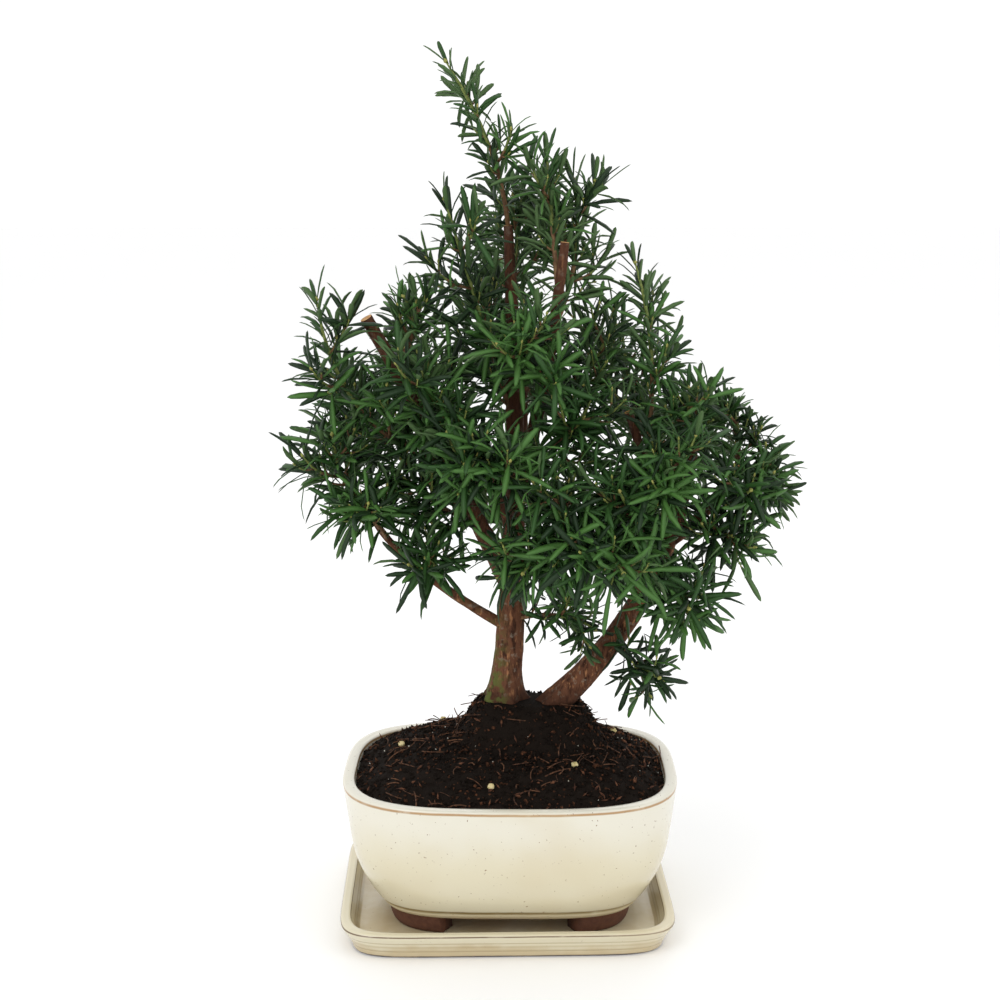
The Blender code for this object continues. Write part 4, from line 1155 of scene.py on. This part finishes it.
class BONSAI_OT_foliage(bpy.types.Operator):
    """Grows the twigs, their buds and the needles of every mass"""

    bl_idname = "bonsai.foliage"
    bl_label = "Foliage"

    def execute(self, context):
        set_ = context.scene.bonsai_plant
        # The darkest and lightest greens carry painted shade at the back and painted light at the lit
        # front, as well as real variety.
        greens = [
            needle_green("needle_deep", set_.shaded_deep),
            needle_green("needle_middle", set_.middle),
            needle_green("needle_fresh", set_.lit_fresh),
            needle_green("needle_underside", set_.pale, 0.60),
        ]
        woods = [grained("twig_brown", (1.0, 1.0, 0.4)), grained("twig_green"), grained("bud_yellow")]
        curves = limb_curves()
        for group, names in mass_groups().items():
            wood, blades = [], []
            for name in names:
                _, _, tip, _, _, _, length, spread = MASSES[name]
                chance = np.random.default_rng(FOLIAGE_SEED + list(MASSES).index(name))
                # Painted light and shade: sprays nearer the lit front draw the light green more often, and
                # those towards the back draw the dark green more often.
                odds = spray_odds_with_painted_light((60.0 - tip[1]) / 120.0)
                width = set_.width * (0.72 + 0.28 * length / 26.0)
                for curve, radius, bare in mass_shoots(name, curves):
                    wood += shoot_wood(curve, radius)
                    root, ways, along, reach = shoot_needles(
                        curve, bare, length * MM, spread, set_.spacing, chance
                    )
                    tips = root + along * reach[:, None]
                    keep = clear_of_limbs((root + tips) / 2.0, curves) & clear_of_limbs(tips, curves)
                    if not keep.any():
                        continue
                    kept = (part[keep] for part in (root, ways, along, reach))
                    made = needle_meshes(*kept, width, set_.thickness, chance)
                    blades.append((made, int(chance.choice(3, p=odds))))
            slots = np.concatenate([faces for _, faces in wood])
            ends = np.repeat([faces[0] for _, faces in wood], 2 * SHOOT_SIDES)
            tubes = joined([part for part, _ in wood])
            dress(put_mesh(f"twigs_{group}", *tubes, woods, slots, ends), "bark", *names)
            sprays = joined([blade for blade, _ in blades])
            slots = [
                np.concatenate([slots_of(blade[kind], each, shade) for blade, shade in blades])
                for kind, each in ((1, 3), (2, 2))
            ]
            dress(put_mesh(f"needles_{group}", *sprays, greens, *slots), "needles", *names)
        return {"FINISHED"}


def spray_odds_with_painted_light(near):
    """How likely a spray is dark, middle or light green: a random spread of greens, weighted towards the
    light green at the lit front and the dark green at the back, which is painted light and painted shade.
    """
    lit_fresh = min(max(0.10 + 0.34 * near, 0.08), 0.45)
    shaded_deep = 0.48 - 0.5 * lit_fresh
    return (shaded_deep, 1.0 - shaded_deep - lit_fresh, lit_fresh)


def slots_of(faces, each, shade):
    """The spray's green on the upper two of a needle's four sides, with so many faces each, and the
    paler one underneath."""
    upper = np.repeat((True, True, False, False), each)
    return np.tile(np.where(upper, shade, 3), len(faces) // len(upper))


# Stage


def area_light(name, place, size, power):
    """A round soft light at a place, turned to the plant."""
    data = bpy.data.lights.new(name, "AREA")
    data.shape = "DISK"
    data.size = size
    data.energy = power
    made = bpy.data.objects.new(name, data)
    bpy.context.scene.collection.objects.link(made)
    look_at(made, place, LIGHT_AIM)


def look_at(thing, place, aim):
    """Puts a camera or light at a place and turns its -Z axis to the aim, with its Y axis up."""
    back = unit(np.array(place) - np.array(aim))
    right = unit(np.cross(UP, back))
    up = np.cross(back, right)
    rows = [(right[i], up[i], back[i], place[i]) for i in range(3)]
    thing.matrix_world = Matrix((*rows, (0.0, 0.0, 0.0, 1.0)))


class BONSAI_OT_stage(bpy.types.Operator):
    """Sets the plain floor, the soft lights and the camera"""

    bl_idname = "bonsai.stage"
    bl_label = "Stage"

    def execute(self, context):
        set_ = context.scene.bonsai_stage
        scene = context.scene
        corners = np.array(((-1, -1, 0), (1, -1, 0), (1, 1, 0), (-1, 1, 0))) * FLOOR_REACH
        paint = Recipe("floor_paint").finish(set_.floor, 0.6)
        floor = put_mesh("floor", corners - UP * 0.05 * MM, [(0, 1, 2, 3)], [], [paint], smooth=False)
        world = bpy.data.worlds.new("studio")
        world.use_nodes = True
        sky = world.node_tree.nodes["Background"]
        sky.inputs["Color"].default_value = (1.0, 1.0, 1.0, 1.0)
        sky.inputs["Strength"].default_value = SKY_STRENGTH
        scene.world = world
        for name, place, size, power in LIGHTS:
            area_light(name, place, size, getattr(set_, power))
        scene.view_settings.view_transform = "Standard"
        data = bpy.data.cameras.new("camera")
        data.lens = CAMERA_LENS
        data.clip_start = 0.01
        camera = bpy.data.objects.new("camera", data)
        scene.collection.objects.link(camera)
        look_at(camera, CAMERA_PLACE, CAMERA_AIM)
        scene.camera = camera
        return {"FINISHED"}


# Registration

OPERATORS = (
    BONSAI_OT_pot,
    BONSAI_OT_saucer,
    BONSAI_OT_soil,
    BONSAI_OT_limbs,
    BONSAI_OT_foliage,
    BONSAI_OT_stage,
)
SETTINGS = {
    "bonsai_pottery": BONSAI_PG_pottery,
    "bonsai_soil": BONSAI_PG_soil,
    "bonsai_plant": BONSAI_PG_plant,
    "bonsai_stage": BONSAI_PG_stage,
}


class BONSAI_PT_sidebar(bpy.types.Panel):
    """Lists the pieces and their settings"""

    bl_label = "Yew bonsai"
    bl_space_type = "VIEW_3D"
    bl_region_type = "UI"
    bl_category = "Bonsai"

    def draw(self, context):
        for operator in OPERATORS:
            self.layout.operator(operator.bl_idname)
        for name, group in SETTINGS.items():
            box = self.layout.box()
            for key in group.__annotations__:
                box.prop(getattr(context.scene, name), key)


def register():
    """Registers the settings, the operators and the panel."""
    for group in SETTINGS.values():
        bpy.utils.register_class(group)
    for name, group in SETTINGS.items():
        setattr(bpy.types.Scene, name, PointerProperty(type=group))
    for operator in OPERATORS:
        bpy.utils.register_class(operator)
    bpy.utils.register_class(BONSAI_PT_sidebar)


def unregister():
    """Takes away what register added."""
    bpy.utils.unregister_class(BONSAI_PT_sidebar)
    for operator in reversed(OPERATORS):
        bpy.utils.unregister_class(operator)
    for name, group in SETTINGS.items():
        delattr(bpy.types.Scene, name)
        bpy.utils.unregister_class(group)


def main():
    """Builds every piece."""
    register()
    bpy.ops.bonsai.stage()
    bpy.ops.bonsai.saucer()
    bpy.ops.bonsai.pot()
    bpy.ops.bonsai.soil()
    bpy.ops.bonsai.limbs()
    bpy.ops.bonsai.foliage()
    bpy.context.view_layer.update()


if __name__ == "__main__":
    main()
